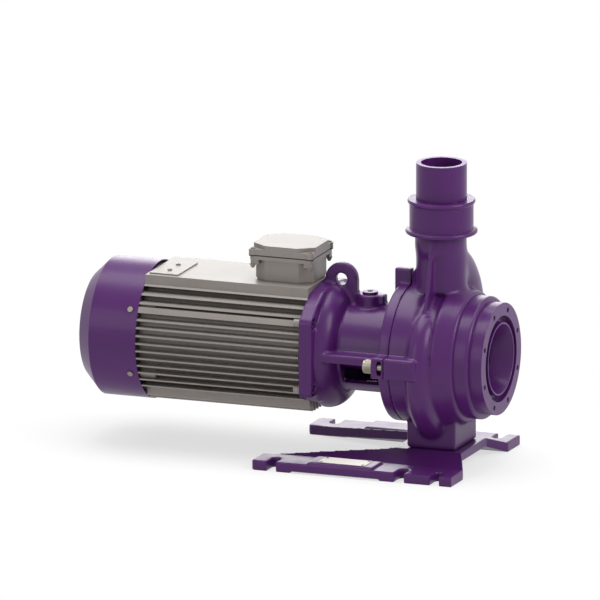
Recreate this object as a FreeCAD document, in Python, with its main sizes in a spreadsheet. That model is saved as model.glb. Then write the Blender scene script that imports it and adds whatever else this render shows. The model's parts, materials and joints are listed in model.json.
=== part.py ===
import FreeCAD, Part
import Sketcher
import math
import os

os.makedirs("parts", exist_ok=True)
doc = FreeCAD.newDocument("pump")
sheet = doc.addObject("Spreadsheet::Sheet", "Sizes")

# Driving dimensions in millimetres and degrees.
# The ones called back lie along the shaft, counted from the suction face towards the motor.
# The ones called rise lie above the shaft axis, and the ones called out lie sideways from it.
SIZES = {
    "shaft_height": 250.0,
    "fit_gap": 0.05,
    "run_gap": 0.4,

    # Suction side of the casing
    "flange_radius": 127.0,
    "flange_hole_circle": 112.0,
    "flange_hole_radius": 5.7,
    "flange_hole_depth": 24.0,
    "hub_back": 29.0,
    "recess_radius": 97.5,
    "recess_depth": 15.0,
    "disc_radius": 139.0,
    "disc_back": 63.0,
    "disc_round": 8.0,
    "cover_radius": 149.0,
    "cover_round": 9.0,
    "band_radius": 160.0,
    "band_back": 110.0,
    "inlet_radius": 83.0,
    "inlet_depth": 48.0,
    "inlet_throat": 62.0,
    "inlet_lip": 4.0,
    "wear_radius": 74.0,
    "wear_width": 18.0,
    "wear_front": 63.0,

    # Spiral and neck of the casing
    "volute_back": 143.0,
    "casing_wall": 8.0,
    "spiral_reach": 157.0,
    "spiral_growth": 36.0,
    "spiral_section": 26.0,
    "section_growth": 0.052,
    "valley_radius": 152.0,
    "neck_low_out": 150.0,
    "neck_low_rise": 72.0,
    "neck_low_radius": 44.0,
    "neck_middle_out": 95.0,
    "neck_middle_rise": 150.0,
    "neck_middle_radius": 53.0,
    "neck_high_out": 22.0,
    "neck_high_rise": 215.0,
    "neck_high_radius": 57.0,
    "neck_skirt_low": 150.0,
    "neck_skirt_radius": 58.0,
    "skirt_step": 0.6,
    "skirt_end": 3.0,
    "neck_radius": 57.5,
    "neck_rise": 280.0,
    "spigot_radius": 61.0,
    "spigot_length": 20.0,
    "rib_thickness": 9.0,
    "rib_top_out": 68.0,
    "rib_top_rise": 262.0,
    "rib_foot_out": 107.0,
    "rib_foot_rise": 111.0,
    "disc_front_back": 168.0,
    "back_disc_radius": 157.0,
    "seam_back": 212.5,
    "chamber_radius": 128.0,
    "chamber_front": 96.0,
    "drain_radius": 8.0,
    "drain_boss_out": 172.0,
    "drain_boss_length": 46.0,
    "drain_fall": 128.0,
    "pedestal_front": 85.0,
    "pedestal_rear": 200.5,
    "pedestal_out": 69.5,
    "pedestal_bolt_radius": 6.0,
    "pedestal_bolt_inset": 18.0,
    "pedestal_bolt_reach": 20.0,

    # Lugs that clamp the casing to the bracket
    "lug_front": 137.3,
    "lug_rear": 242.0,
    "lug_out": 188.0,
    "lug_half_height": 24.0,
    "lug_bolt_out": 173.0,
    "lug_bolt_radius": 10.0,
    "lug_head_radius": 15.0,
    "lug_head_length": 20.0,
    "lug_bolt_length": 70.0,
    "lug_slot_front": 218.2,
    "lug_slot_rear": 227.8,
    "lug_slot_rise": 16.8,
    "lug_slot_out": 166.0,
    "top_lug_front": 200.5,
    "top_lug_rear": 251.8,
    "top_lug_rise": 191.0,
    "top_lug_half": 10.0,
    "web_rise": 182.0,
    "web_half": 7.0,

    # Discharge collar and pipe
    "pipe_radius": 57.15,
    "pipe_wall": 11.0,
    "pipe_end_step": 1.15,
    "pipe_rise": 441.3,
    "collar_radius": 72.0,
    "collar_rise": 358.0,
    "collar_bead": 9.0,
    "lower_bead_radius": 81.8,
    "upper_bead_radius": 75.5,

    # Bearing bracket
    "bracket_disc_rear": 237.5,
    "bracket_neck": 98.5,
    "shoulder_start": 357.2,
    "shoulder_end": 405.0,
    "shoulder_arc": 48.0,
    "shoulder_radius": 142.0,
    "shoulder_rear": 410.0,
    "bearing_land": 66.0,
    "bearing_land_back": 403.0,
    "bracket_hollow": 388.0,
    "motor_flange_front": 396.0,
    "plate_side": 154.0,
    "plate_waist": 80.0,
    "plate_shoulder_out": 148.0,
    "plate_shoulder_rise": 88.0,
    "plate_slope_out": 115.0,
    "plate_slope_rise": 114.0,
    "plate_crown_out": 75.0,
    "plate_crown_rise": 135.0,
    "plate_top_out": 30.0,
    "plate_top_rise": 142.0,
    "plate_tuck_out": 120.0,
    "plate_tuck_fall": 92.0,
    "plate_low_out": 95.0,
    "plate_low_fall": 112.0,
    "motor_front": 428.0,
    "lantern_front": 248.0,
    "lantern_rear": 362.0,
    "lantern_radius": 84.0,
    "oil_tube_radius": 52.0,
    "oil_bore": 38.0,
    "oil_rear": 350.0,
    "lip_radius": 34.0,
    "lip_rear": 362.0,
    "lip_width": 11.0,
    "window_top": -10.0,
    "window_low": -67.0,
    "window_front": 250.0,
    "window_rear": 350.0,
    "ledge_out": 138.0,
    "ledge_half": 10.0,
    "eye_back": 380.4,
    "eye_rise": 153.2,
    "eye_radius": 38.0,
    "eye_hole": 14.0,
    "eye_half": 9.5,
    "boss_back": 313.6,
    "boss_radius": 28.3,
    "boss_rise": 124.5,
    "boss_block_front": 276.7,
    "boss_block_low": 104.0,
    "boss_block_half": 14.0,
    "plug_radius": 17.5,
    "plug_depth": 18.0,
    "plug_hex": 12.0,
    "plug_thread": 12.0,
    "plug_washer": 1.5,
    "plug_flange": 4.0,
    "motor_screw_out": 136.0,
    "motor_screw_rise": 76.0,
    "motor_screw_radius": 5.0,
    "motor_screw_pocket": 12.4,
    "motor_screw_reach": 30.0,
    "motor_screw_seat": 410.0,

    # Shaft line
    "shaft_end_back": 142.0,
    "key_width": 8.0,
    "key_depth": 4.0,
    "key_inset": 5.0,
    "impeller_key_length": 32.0,
    "circlip_width": 2.4,
    "bearing_shoulder": 368.0,
    "impeller_seat_radius": 17.5,
    "impeller_rear": 190.0,
    "seal_shaft_radius": 20.0,
    "front_bearing_back": 375.0,
    "front_bearing_width": 25.0,
    "front_bearing_bore": 22.5,
    "front_bearing_radius": 50.0,
    "front_ball_radius": 8.7,
    "shaft_waist_radius": 28.0,
    "rotor_front": 512.0,
    "rotor_rear": 722.0,
    "rotor_seat_radius": 27.0,
    "rear_shaft_radius": 25.0,
    "rear_bearing_back": 826.0,
    "rear_bearing_width": 18.0,
    "rear_bearing_bore": 20.0,
    "rear_bearing_radius": 40.0,
    "rear_ball_radius": 6.0,
    "fan_seat_radius": 17.0,
    "shaft_rear_back": 908.0,

    # Impeller
    "impeller_radius": 116.0,
    "impeller_hub_radius": 30.0,
    "eye_lip_radius": 65.0,
    "eye_lip_front": 70.0,
    "eye_bore": 56.0,
    "shroud_thick": 6.0,
    "outlet_front": 118.0,
    "outlet_rear": 166.0,
    "vane_thick": 6.0,
    "vane_inner": 42.0,
    "vane_arc": 78.0,
    "impeller_nose": 136.0,
    "impeller_bolt_radius": 7.0,
    "bolt_reach": 42.0,
    "washer_thick": 5.0,
    "hub_arc": 70.0,

    # Shaft seal
    "seal_cover_front": 193.0,
    "cover_plate": 7.0,
    "o_ring_back": 199.0,
    "seal_seat_radius": 33.0,
    "seal_seat_length": 10.0,
    "seal_ring_radius": 31.0,
    "seal_ring_length": 12.0,
    "face_gap": 0.3,
    "spring_wire": 2.0,
    "spring_turns": 4.0,
    "spring_pitch": 8.0,
    "ring_cord": 4.0,

    # Motor
    "barrel_radius": 133.0,
    "barrel_bore": 125.0,
    "fin_reach": 155.7,
    "fin_pitch": 17.5,
    "fin_thick": 4.0,
    "low_fin_fall": 145.0,
    "front_boss_radius": 9.0,
    "front_boss_length": 16.0,
    "rear_boss_radius": 11.4,
    "boss_length": 36.0,
    "motor_rear": 818.0,
    "top_block_out": 92.0,
    "top_block_rise": 145.6,
    "top_block_low": 121.0,
    "wire_back": 486.0,
    "wire_radius": 12.0,
    "top_cover_front": 744.0,
    "top_cover_rear": 812.0,
    "top_cover_low": -80.0,
    "top_cover_high": 45.0,
    "top_cover_thick": 3.0,
    "top_screw_back": 777.0,
    "top_screw_half": 26.5,
    "top_screw_radius": 3.0,
    "stator_bore": 80.0,
    "winding_out": 117.0,
    "winding_in": 88.0,
    "winding_length": 42.0,
    "winding_round": 6.0,
    "air_gap": 0.6,
    "cage_ring_length": 22.0,
    "cage_ring_inner": 50.0,
    "rear_shield_plate": 12.0,
    "shield_radius": 149.0,
    "shield_screw_circle": 135.0,
    "shield_screw_angle": 56.0,
    "shield_screw_radius": 4.0,
    "shield_screw_reach": 34.0,
    "spring_washer": 1.5,

    # Cowl and fan
    "cowl_radius": 156.1,
    "cowl_sheet": 2.5,
    "cowl_bend_back": 930.0,
    "cowl_end_back": 965.0,
    "cowl_end_radius": 121.0,
    "grille_inner": 34.0,
    "grille_outer": 74.0,
    "grille_slot": 7.0,
    "grille_length": 32.0,
    "cowl_screw_back": 836.0,
    "cowl_screw_angle": 62.0,
    "cowl_screw_radius": 6.5,
    "cowl_screw_head": 3.2,
    "fan_radius": 138.0,
    "fan_hub_radius": 28.0,
    "fan_front": 858.0,
    "fan_rear": 900.0,
    "fan_plate_radius": 88.0,
    "fan_blade": 3.0,

    # Terminal box
    "box_front": 428.0,
    "box_rear": 578.0,
    "box_half_width": 66.5,
    "box_lid_rise": 219.5,
    "box_lid_thick": 13.0,
    "box_gasket": 3.0,
    "box_body_low": 149.5,
    "box_foot_inset": 2.0,
    "box_wall": 4.0,
    "box_round": 6.0,
    "box_rim": 8.0,
    "box_body_inset": 5.5,
    "box_body_narrow": 4.5,
    "box_corner_long": 29.0,
    "box_corner_wide": 23.0,
    "box_ear": 18.0,
    "box_ear_inset": 2.0,
    "box_ear_long": 21.0,
    "box_ear_wide": 17.0,
    "lid_crown": 9.5,
    "crown_corner_long": 36.0,
    "crown_corner_wide": 26.0,
    "box_ear_slope": 12.0,
    "box_ear_tip": 2.0,
    "gland_back": 481.0,
    "blank_back": 525.0,
    "gland_length": 22.0,
    "lid_screw_radius": 3.0,
    "lid_ear_radius": 9.0,
    "lid_ear_inset": 6.0,
    "block_front": 502.0,
    "block_rear": 547.0,
    "block_half": 25.0,
    "block_thick": 24.0,
    "stud_pitch": 20.0,
    "stud_radius": 3.0,
    "stud_length": 18.0,

    # Base frame
    "foot_out": 219.0,
    "foot_in": 142.0,
    "foot_front": 37.4,
    "foot_rear": 516.8,
    "foot_thick": 22.4,
    "deck_out": 78.4,
    "deck_front": 65.0,
    "deck_rear": 227.4,
    "deck_top": 45.0,
    "deck_thick": 20.0,
    "slope_rear": 494.4,
    "slot_width": 21.5,
    "slot_depth": 45.0,
    "slot_first": 78.2,
    "slot_second": 162.6,
    "slot_third": 469.0,
    "pad_front": 228.0,
    "pad_rear": 383.0,
    "pad_rise": 5.6,
    "relief_front": 210.0,
    "relief_rear": 423.0,
    "relief_rise": 3.0,
    "foot_round": 10.0,
    "plate_front": 249.0,
    "plate_rear": 361.0,
    "plate_thick": 1.0,
    "plate_out": 208.0,
    "plate_in": 156.0,
    "rivet_radius": 2.0,
    "rivet_length": 4.0,
}


class Size:
    """A value of the sheet, or one worked out from such values, with the expression that gives it."""

    def __init__(self, value, text):
        self.value = float(value)
        self.text = text

    def joined(self, other, sign, value):
        right = other.text if isinstance(other, Size) else repr(float(other))
        return Size(value, f"({self.text} {sign} {right})")

    def __float__(self):
        return self.value

    def __add__(self, other):
        return self.joined(other, "+", self.value + float(other))

    def __sub__(self, other):
        return self.joined(other, "-", self.value - float(other))

    def __mul__(self, other):
        return self.joined(other, "*", self.value * float(other))

    def __truediv__(self, other):
        return self.joined(other, "/", self.value / float(other))

    def __neg__(self):
        return self * -1.0

    def __rsub__(self, other):
        return -self + other

    __radd__ = __add__
    __rmul__ = __mul__


class Sizes:
    """The sheet's values by name."""


def fill_sheet():
    for row, (alias, value) in enumerate(SIZES.items(), start=1):
        sheet.set(f"A{row}", alias)
        sheet.set(f"B{row}", str(value))
        sheet.setAlias(f"B{row}", alias)
    doc.recompute()
    named = Sizes()
    for alias in SIZES:
        setattr(named, alias, Size(sheet.get(alias), f"Sizes.{alias}"))
    return named


D = fill_sheet()
ZERO = Size(0.0, "0")
nodes = {}


def at(back):
    """Place along X of something that lies so far behind the suction face."""
    return D.cowl_end_back / 2 - back


def vector(x, y, z):
    return FreeCAD.Vector(float(x), float(y), float(z))


def bind(item, path, size):
    item.setExpression(path, size.text)


def keep(item, label):
    """Marks a finished object as a sub-part, with the label that names its file."""
    item.Label = label
    nodes[label] = item
    return item


def new_body(name, on_shaft=True):
    """An empty body, with its origin on the shaft axis or on the floor."""
    body = doc.addObject("PartDesign::Body", name)
    if on_shaft:
        bind(body, "Placement.Base.z", D.shaft_height)
    return body


def new_sketch(body, role, offset=ZERO):
    """A sketch on one of the body's own origin planes, moved along the plane's normal."""
    sketch = body.newObject("Sketcher::SketchObject", body.Name + "_sketch")
    plane = [item for item in body.Origin.OriginFeatures if item.Role == role][0]
    sketch.AttachmentSupport = [(plane, "")]
    sketch.MapMode = "FlatFace"
    bind(sketch, "AttachmentOffset.Base.z", offset)
    return sketch


def pin_point(sketch, geometry, position, point):
    """Dimensions one point of the sketch from the sketch's origin."""
    for kind, size in zip(("DistanceX", "DistanceY"), point):
        index = sketch.addConstraint(Sketcher.Constraint(kind, -1, 1, geometry, position, float(size)))
        bind(sketch, f"Constraints[{index}]", size)


def arc_between(start, end, radius):
    """The short arc from start to end: counterclockwise for a positive radius."""
    sx, sy = float(start[0]), float(start[1])
    ex, ey = float(end[0]), float(end[1])
    chord = math.hypot(ex - sx, ey - sy)
    height = math.sqrt(max(radius * radius - chord * chord / 4, 0.0)) * math.copysign(1.0, radius)
    cx = (sx + ex) / 2 - (ey - sy) / chord * height
    cy = (sy + ey) / 2 + (ex - sx) / chord * height
    first, last = (sx, sy), (ex, ey)
    if radius < 0:
        first, last = last, first
    circle = Part.Circle(FreeCAD.Vector(cx, cy, 0), FreeCAD.Vector(0, 0, 1), abs(radius))
    angles = [math.atan2(y - cy, x - cx) for x, y in (first, last)]
    return Part.ArcOfCircle(circle, angles[0], angles[1])


def draw(sketch, outline):
    """Draws a closed outline. A point with a third value is reached by an arc of that signed radius."""
    ends = []
    count = len(outline)
    for index in range(count):
        start, end = outline[index], outline[(index + 1) % count]
        if len(end) == 3:
            arc = arc_between(start, end, float(end[2]))
            geometry = sketch.addGeometry(arc, False)
            radius = sketch.addConstraint(Sketcher.Constraint("Radius", geometry, abs(float(end[2]))))
            bind(sketch, f"Constraints[{radius}]", end[2] if float(end[2]) > 0 else -end[2])
            ends.append((geometry, 1, 2) if float(end[2]) > 0 else (geometry, 2, 1))
        else:
            line = Part.LineSegment(vector(start[0], start[1], 0), vector(end[0], end[1], 0))
            ends.append((sketch.addGeometry(line, False), 1, 2))
    for index in range(count):
        geometry, head, tail = ends[index]
        following, next_head, _ = ends[(index + 1) % count]
        sketch.addConstraint(Sketcher.Constraint("Coincident", geometry, tail, following, next_head))
        pin_point(sketch, geometry, head, outline[index][:2])


def draw_circle(sketch, x, y, radius):
    circle = Part.Circle(vector(x, y, 0), FreeCAD.Vector(0, 0, 1), float(radius))
    geometry = sketch.addGeometry(circle, False)
    pin_point(sketch, geometry, 3, (x, y))
    index = sketch.addConstraint(Sketcher.Constraint("Radius", geometry, float(radius)))
    bind(sketch, f"Constraints[{index}]", radius)


def box_outline(x_low, x_high, y_low, y_high):
    return [(x_low, y_low), (x_high, y_low), (x_high, y_high), (x_low, y_high)]


def turned(body, outline, kind="Revolution"):
    """Turns an outline of (place along X, radius) points about the shaft axis."""
    sketch = new_sketch(body, "XZ_Plane")
    draw(sketch, outline)
    return turn(body, sketch, kind)


def turn(body, sketch, kind="Revolution"):
    feature = body.newObject("PartDesign::" + kind, f"{body.Name}_{kind.lower()}")
    feature.Profile = sketch
    feature.ReferenceAxis = (sketch, ["H_Axis"])
    feature.Angle = 360
    return feature


def pushed(body, role, start, length, outline, kind="Pad"):
    """Pads up from the plane at start, or pockets down from it, by a length."""
    sketch = new_sketch(body, role, start)
    draw(sketch, outline)
    return push(body, sketch, length, kind)


def drilled(body, role, start, length, circles, kind="Pocket"):
    sketch = new_sketch(body, role, start)
    for x, y, radius in circles:
        draw_circle(sketch, x, y, radius)
    return push(body, sketch, length, kind)


def push(body, sketch, length, kind):
    feature = body.newObject("PartDesign::" + kind, f"{body.Name}_{kind.lower()}")
    feature.Profile = sketch
    feature.Type = 0
    bind(feature, "Length", length)
    return feature


def around(body, feature, count):
    """Repeats a feature about the shaft axis."""
    pattern = body.newObject("PartDesign::PolarPattern", body.Name + "_pattern")
    pattern.Originals = [feature]
    pattern.Axis = (feature.Profile[0], ["N_Axis"])
    pattern.Angle = 360
    pattern.Occurrences = count
    body.Tip = pattern
    return pattern


def ring(name, front, rear, inner, outer):
    """A plain ring about the shaft axis between two places along X."""
    body = new_body(name)
    turned(body, box_outline(at(rear), at(front), inner, outer))
    return body


def box(name, x_low, x_high, y_low, y_high, z_low, z_high, on_shaft=True):
    """A block between three pairs of limits, with z counted from the shaft axis or the floor."""
    block = doc.addObject("Part::Box", name)
    bind(block, "Length", x_high - x_low)
    bind(block, "Width", y_high - y_low)
    bind(block, "Height", z_high - z_low)
    bind(block, "Placement.Base.x", x_low)
    bind(block, "Placement.Base.y", y_low)
    bind(block, "Placement.Base.z", z_low + D.shaft_height if on_shaft else z_low)
    return block


TURNS = {"x": (FreeCAD.Vector(0, 1, 0), 90), "y": (FreeCAD.Vector(1, 0, 0), -90), "z": (FreeCAD.Vector(0, 0, 1), 0)}


def rod(name, direction, x, y, z, radius, length, on_shaft=True):
    """A cylinder that starts at a point and runs along +X, +Y or +Z."""
    cylinder = doc.addObject("Part::Cylinder", name)
    bind(cylinder, "Radius", radius)
    bind(cylinder, "Height", length)
    axis, angle = TURNS[direction]
    cylinder.Placement = FreeCAD.Placement(FreeCAD.Vector(), FreeCAD.Rotation(axis, angle))
    bind(cylinder, "Placement.Base.x", x)
    bind(cylinder, "Placement.Base.y", y)
    bind(cylinder, "Placement.Base.z", z + D.shaft_height if on_shaft else z)
    return cylinder


def united(name, pieces):
    fusion = doc.addObject("Part::MultiFuse", name)
    fusion.Shapes = pieces
    return fusion


def shared(name, base, tool):
    common = doc.addObject("Part::Common", name)
    common.Base = base
    common.Tool = tool
    return common


def less(name, base, tools):
    cut = doc.addObject("Part::Cut", name)
    cut.Base = base
    cut.Tool = tools[0] if len(tools) == 1 else united(name + "_tools", tools)
    return cut


def group(name, pieces):
    compound = doc.addObject("Part::Compound", name)
    compound.Links = pieces
    return compound


def spoke(name, back, angle, start, length, radius):
    """A cylinder that points away from the shaft axis, at an angle from the top towards the near side."""
    cylinder = doc.addObject("Part::Cylinder", name)
    bind(cylinder, "Radius", radius)
    bind(cylinder, "Height", length)
    turn_about_shaft = FreeCAD.Rotation(FreeCAD.Vector(1, 0, 0), angle)
    cylinder.Placement = FreeCAD.Placement(FreeCAD.Vector(), turn_about_shaft)
    bind(cylinder, "Placement.Base.x", at(back))
    bind(cylinder, "Placement.Base.y", start * -math.sin(math.radians(angle)))
    bind(cylinder, "Placement.Base.z", start * math.cos(math.radians(angle)) + D.shaft_height)
    return cylinder


def hexagon(x, y, across):
    corner = across / math.sqrt(3)
    angles = [math.radians(60 * step) for step in range(6)]
    return [(x + corner * math.cos(angle), y + corner * math.sin(angle)) for angle in angles]


def slot_outline(x_low, x_high, inner, outer):
    """An open U slot, round at its inner end, which runs out along Y."""
    radius, middle = (x_high - x_low) / 2, (x_low + x_high) / 2
    if float(outer) > float(inner):
        return [(x_high, outer), (x_low, outer), (x_low, inner + radius), (middle, inner, radius),
                (x_high, inner + radius, radius)]
    return [(x_low, outer), (x_high, outer), (x_high, inner - radius), (middle, inner, radius),
            (x_low, inner - radius, radius)]


def section(name, out, rise, tilt, radius):
    """One round section of the spiral. Its face looks up and turns about X by the tilt."""
    circle = doc.addObject("Part::Circle", name)
    bind(circle, "Radius", radius)
    circle.Placement = FreeCAD.Placement(FreeCAD.Vector(), FreeCAD.Rotation(FreeCAD.Vector(1, 0, 0), tilt))
    bind(circle, "Placement.Base.x", at(D.volute_back))
    bind(circle, "Placement.Base.y", out)
    bind(circle, "Placement.Base.z", rise + D.shaft_height)
    return circle


SPIRAL_START = 44
SPIRAL_SPAN = 116
SPIRAL_POWER = 0.6
SPIRAL_ANGLES = (44, 80, 120, 160, 200, 235, 270)


def spiral_loft(name, wall):
    """The spiral tube and its neck, which swings from the far side up to the middle, less a wall."""
    sections = []
    for angle in SPIRAL_ANGLES:
        grown = angle - SPIRAL_START
        radius = D.spiral_section + D.section_growth * grown
        reach = D.spiral_reach + D.spiral_growth * (grown / SPIRAL_SPAN) ** SPIRAL_POWER
        middle = reach - radius
        out = middle * -math.sin(math.radians(angle))
        rise = middle * math.cos(math.radians(angle))
        sections.append(section(f"{name}_{angle}", out, rise, 90 + angle, radius - wall))
    bend = ((D.neck_low_out, D.neck_low_rise, 22, D.neck_low_radius),
            (D.neck_middle_out, D.neck_middle_rise, 36, D.neck_middle_radius),
            (D.neck_high_out, D.neck_high_rise, 16, D.neck_high_radius))
    for number, (out, rise, tilt, radius) in enumerate(bend):
        sections.append(section(f"{name}_bend_{number}", out, rise, 360 + tilt, radius - wall))
    sections.append(section(f"{name}_top", ZERO, D.neck_rise, 360, D.neck_radius - wall))
    loft = doc.addObject("Part::Loft", name)
    loft.Sections = sections
    loft.Solid = True
    return loft


def volute_casing():
    shell = new_body("casing_shell")
    cover_corner = D.cover_radius - D.cover_round
    turned(shell, [
        (at(D.disc_back), ZERO), (at(D.seam_back), ZERO), (at(D.seam_back), D.back_disc_radius),
        (at(D.disc_front_back), D.back_disc_radius), (at(D.volute_back + 15), D.valley_radius),
        (at(D.band_back + 6), D.valley_radius), (at(D.band_back), D.band_radius),
        (at(D.disc_back + D.cover_round), D.cover_radius), (at(D.disc_back), cover_corner, -D.cover_round),
    ])
    rib = new_body("neck_rib")
    pushed(rib, "YZ_Plane", at(D.volute_back) - D.rib_thickness / 2, D.rib_thickness, [
        (-D.rib_top_out, D.rib_top_rise), (-D.rib_foot_out, D.rib_foot_rise),
        (D.neck_middle_out, D.rib_foot_rise), (ZERO, D.neck_rise), (-D.neck_radius, D.neck_rise),
    ])
    spigot = rod("neck_spigot", "z", at(D.volute_back), ZERO, D.neck_rise - 2, D.spigot_radius - D.fit_gap,
                 D.spigot_length + 2)
    lugs = [box(f"casing_lug_{side}", at(D.seam_back), at(D.lug_front), low, high,
                -D.lug_half_height, D.lug_half_height)
            for side, low, high in (("near", -D.lug_out, -D.chamber_radius), ("far", D.chamber_radius, D.lug_out))]
    top_lug = box("casing_top_lug", at(D.seam_back), at(D.top_lug_front), -D.top_lug_half, D.top_lug_half,
                  D.chamber_radius, D.top_lug_rise)
    web = box("top_lug_web", at(D.top_lug_front), at(D.volute_back), -D.web_half, D.web_half, D.chamber_radius,
              D.web_rise)
    skirt = doc.addObject("Part::Cone", "neck_skirt")
    bind(skirt, "Radius1", D.neck_skirt_radius)
    bind(skirt, "Radius2", D.neck_radius - D.skirt_step)
    bind(skirt, "Height", D.neck_rise - D.neck_skirt_low - D.skirt_end)
    bind(skirt, "Placement.Base.x", at(D.volute_back))
    bind(skirt, "Placement.Base.z", D.shaft_height + D.neck_skirt_low)
    pedestal = box("pedestal", at(D.pedestal_rear), at(D.pedestal_front), -D.pedestal_out, D.pedestal_out,
                   D.deck_top, D.shaft_height - D.chamber_radius, on_shaft=False)
    drain_boss = rod("drain_boss", "y", at(D.volute_back), D.drain_boss_out - D.drain_boss_length,
                     -D.drain_fall, D.drain_radius + 8, D.drain_boss_length)
    outside = united("casing_outside", [shell, spiral_loft("spiral", ZERO), rib, skirt, spigot, top_lug, web,
                                        pedestal, drain_boss] + lugs)

    core = new_body("casing_core")
    turned(core, [
        (at(D.wear_front - 1), ZERO), (at(D.wear_front - 1), D.wear_radius),
        (at(D.wear_front + D.wear_width), D.wear_radius),
        (at(D.chamber_front), D.chamber_radius), (at(D.seam_back + 1), D.chamber_radius),
        (at(D.seam_back + 1), ZERO),
    ])
    channel = spiral_loft("channel", D.casing_wall)
    outlet = rod("outlet_bore", "z", at(D.volute_back), ZERO, D.neck_rise - 1, D.pipe_radius - D.pipe_wall,
                 D.spigot_length + 3)
    bolts = [rod(f"lug_thread_{sign}", "x", at(D.lug_rear + 2), D.lug_bolt_out * sign, ZERO,
                 D.lug_bolt_radius + D.fit_gap, D.lug_bolt_length + 4) for sign in (-1, 1)]
    drain = rod("drain_bore", "y", at(D.volute_back), D.drain_boss_out - D.drain_boss_length - 12,
                -D.drain_fall, D.drain_radius + D.fit_gap, D.drain_boss_length + 20)
    feet = [rod(f"pedestal_thread_{number}", "z", at(back), out, D.deck_top - 1,
                D.pedestal_bolt_radius + D.fit_gap, D.pedestal_bolt_reach + 3, on_shaft=False)
            for number, (back, out) in enumerate(pedestal_places())]
    o_groove = ring("o_ring_groove", D.o_ring_back, D.o_ring_back + D.ring_cord,
                    D.chamber_radius - 1, D.chamber_radius + D.ring_cord / 2)
    casing = less("volute_casing", outside, [core, channel, outlet, drain, o_groove] + bolts + feet)
    keep(casing, "volute_casing")


def suction_cover():
    """The stepped disc in front of the spiral, with the suction flange."""
    cover = new_body("suction_cover")
    turned(cover, [
        (at(ZERO), D.recess_radius), (at(D.recess_depth), D.recess_radius), (at(D.recess_depth), D.inlet_radius),
        (at(D.inlet_depth), D.inlet_radius), (at(D.inlet_depth), D.inlet_throat),
        (at(D.disc_back), D.inlet_throat), (at(D.disc_back), D.disc_radius),
        (at(D.hub_back + D.disc_round), D.disc_radius),
        (at(D.hub_back), D.disc_radius - D.disc_round, -D.disc_round), (at(D.hub_back), D.flange_radius),
        (at(ZERO), D.flange_radius),
    ])
    hole = drilled(cover, "YZ_Plane", at(ZERO), D.flange_hole_depth, [flange_hole()])
    around(cover, hole, FLANGE_HOLES)
    keep(cover, "suction_cover")


FLANGE_HOLES = 8


def flange_hole():
    angle = math.pi / FLANGE_HOLES
    return (D.flange_hole_circle * math.cos(angle), D.flange_hole_circle * math.sin(angle), D.flange_hole_radius)


def pedestal_places():
    middle = (D.pedestal_front + D.pedestal_rear) / 2
    reach = (D.pedestal_rear - D.pedestal_front) / 2 - D.pedestal_bolt_inset
    out = D.pedestal_out - D.pedestal_bolt_inset
    return [(middle + reach * x, out * y) for x in (-1, 1) for y in (-1, 1)]


def suction_rings():
    inlet = new_body("suction_inlet_ring")
    outer = D.inlet_radius - D.fit_gap
    turned(inlet, [(at(ZERO), outer - D.inlet_lip), (at(ZERO), outer), (at(D.inlet_depth), outer),
                   (at(D.inlet_depth), D.inlet_throat)])
    keep(inlet, "suction_inlet_ring")
    wear = ring("wear_ring", D.wear_front, D.wear_front + D.wear_width, D.eye_lip_radius + D.run_gap,
                D.wear_radius - D.fit_gap)
    keep(wear, "wear_ring")


def discharge_parts():
    rise = D.neck_rise
    collar = doc.addObject("PartDesign::Body", "discharge_collar")
    bind(collar, "Placement.Base.z", D.shaft_height)
    bind(collar, "Placement.Base.x", at(D.volute_back))
    sketch = new_sketch(collar, "XZ_Plane")
    bead = D.collar_bead
    seat = rise + D.spigot_length
    end_radius = D.pipe_radius - D.pipe_end_step
    inside = end_radius + D.fit_gap
    draw(sketch, [
        (D.spigot_radius, rise), (D.lower_bead_radius - bead / 3, rise),
        (D.lower_bead_radius - bead / 3, rise + bead, bead / 2 + 1), (D.collar_radius, rise + bead + 2),
        (D.collar_radius, D.collar_rise - bead - 2), (D.upper_bead_radius - 1, D.collar_rise - bead),
        (D.upper_bead_radius - 1, D.collar_rise, bead / 2 + 2), (inside, D.collar_rise), (inside, seat + D.ring_cord),
        (inside + D.ring_cord, seat + D.ring_cord), (inside + D.ring_cord, seat), (D.spigot_radius, seat),
    ])
    feature = collar.newObject("PartDesign::Revolution", "collar_revolution")
    feature.Profile = sketch
    feature.ReferenceAxis = (sketch, ["V_Axis"])
    feature.Angle = 360
    keep(collar, "discharge_collar")

    pipe = new_body("discharge_pipe")
    drilled(pipe, "XY_Plane", seat, D.collar_rise - seat, [(at(D.volute_back), ZERO, end_radius)], kind="Pad")
    drilled(pipe, "XY_Plane", D.collar_rise, D.pipe_rise - D.collar_rise,
            [(at(D.volute_back), ZERO, D.pipe_radius)], kind="Pad")
    drilled(pipe, "XY_Plane", D.pipe_rise, D.pipe_rise - seat,
            [(at(D.volute_back), ZERO, D.pipe_radius - D.pipe_wall)])
    keep(pipe, "discharge_pipe")

    seal = new_body("discharge_seal_ring")
    drilled(seal, "XY_Plane", seat + D.fit_gap, D.ring_cord - D.fit_gap * 2,
            [(at(D.volute_back), ZERO, inside + D.ring_cord - D.fit_gap)], kind="Pad")
    drilled(seal, "XY_Plane", seat + D.ring_cord, D.ring_cord, [(at(D.volute_back), ZERO, inside)])
    keep(seal, "discharge_seal_ring")


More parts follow.
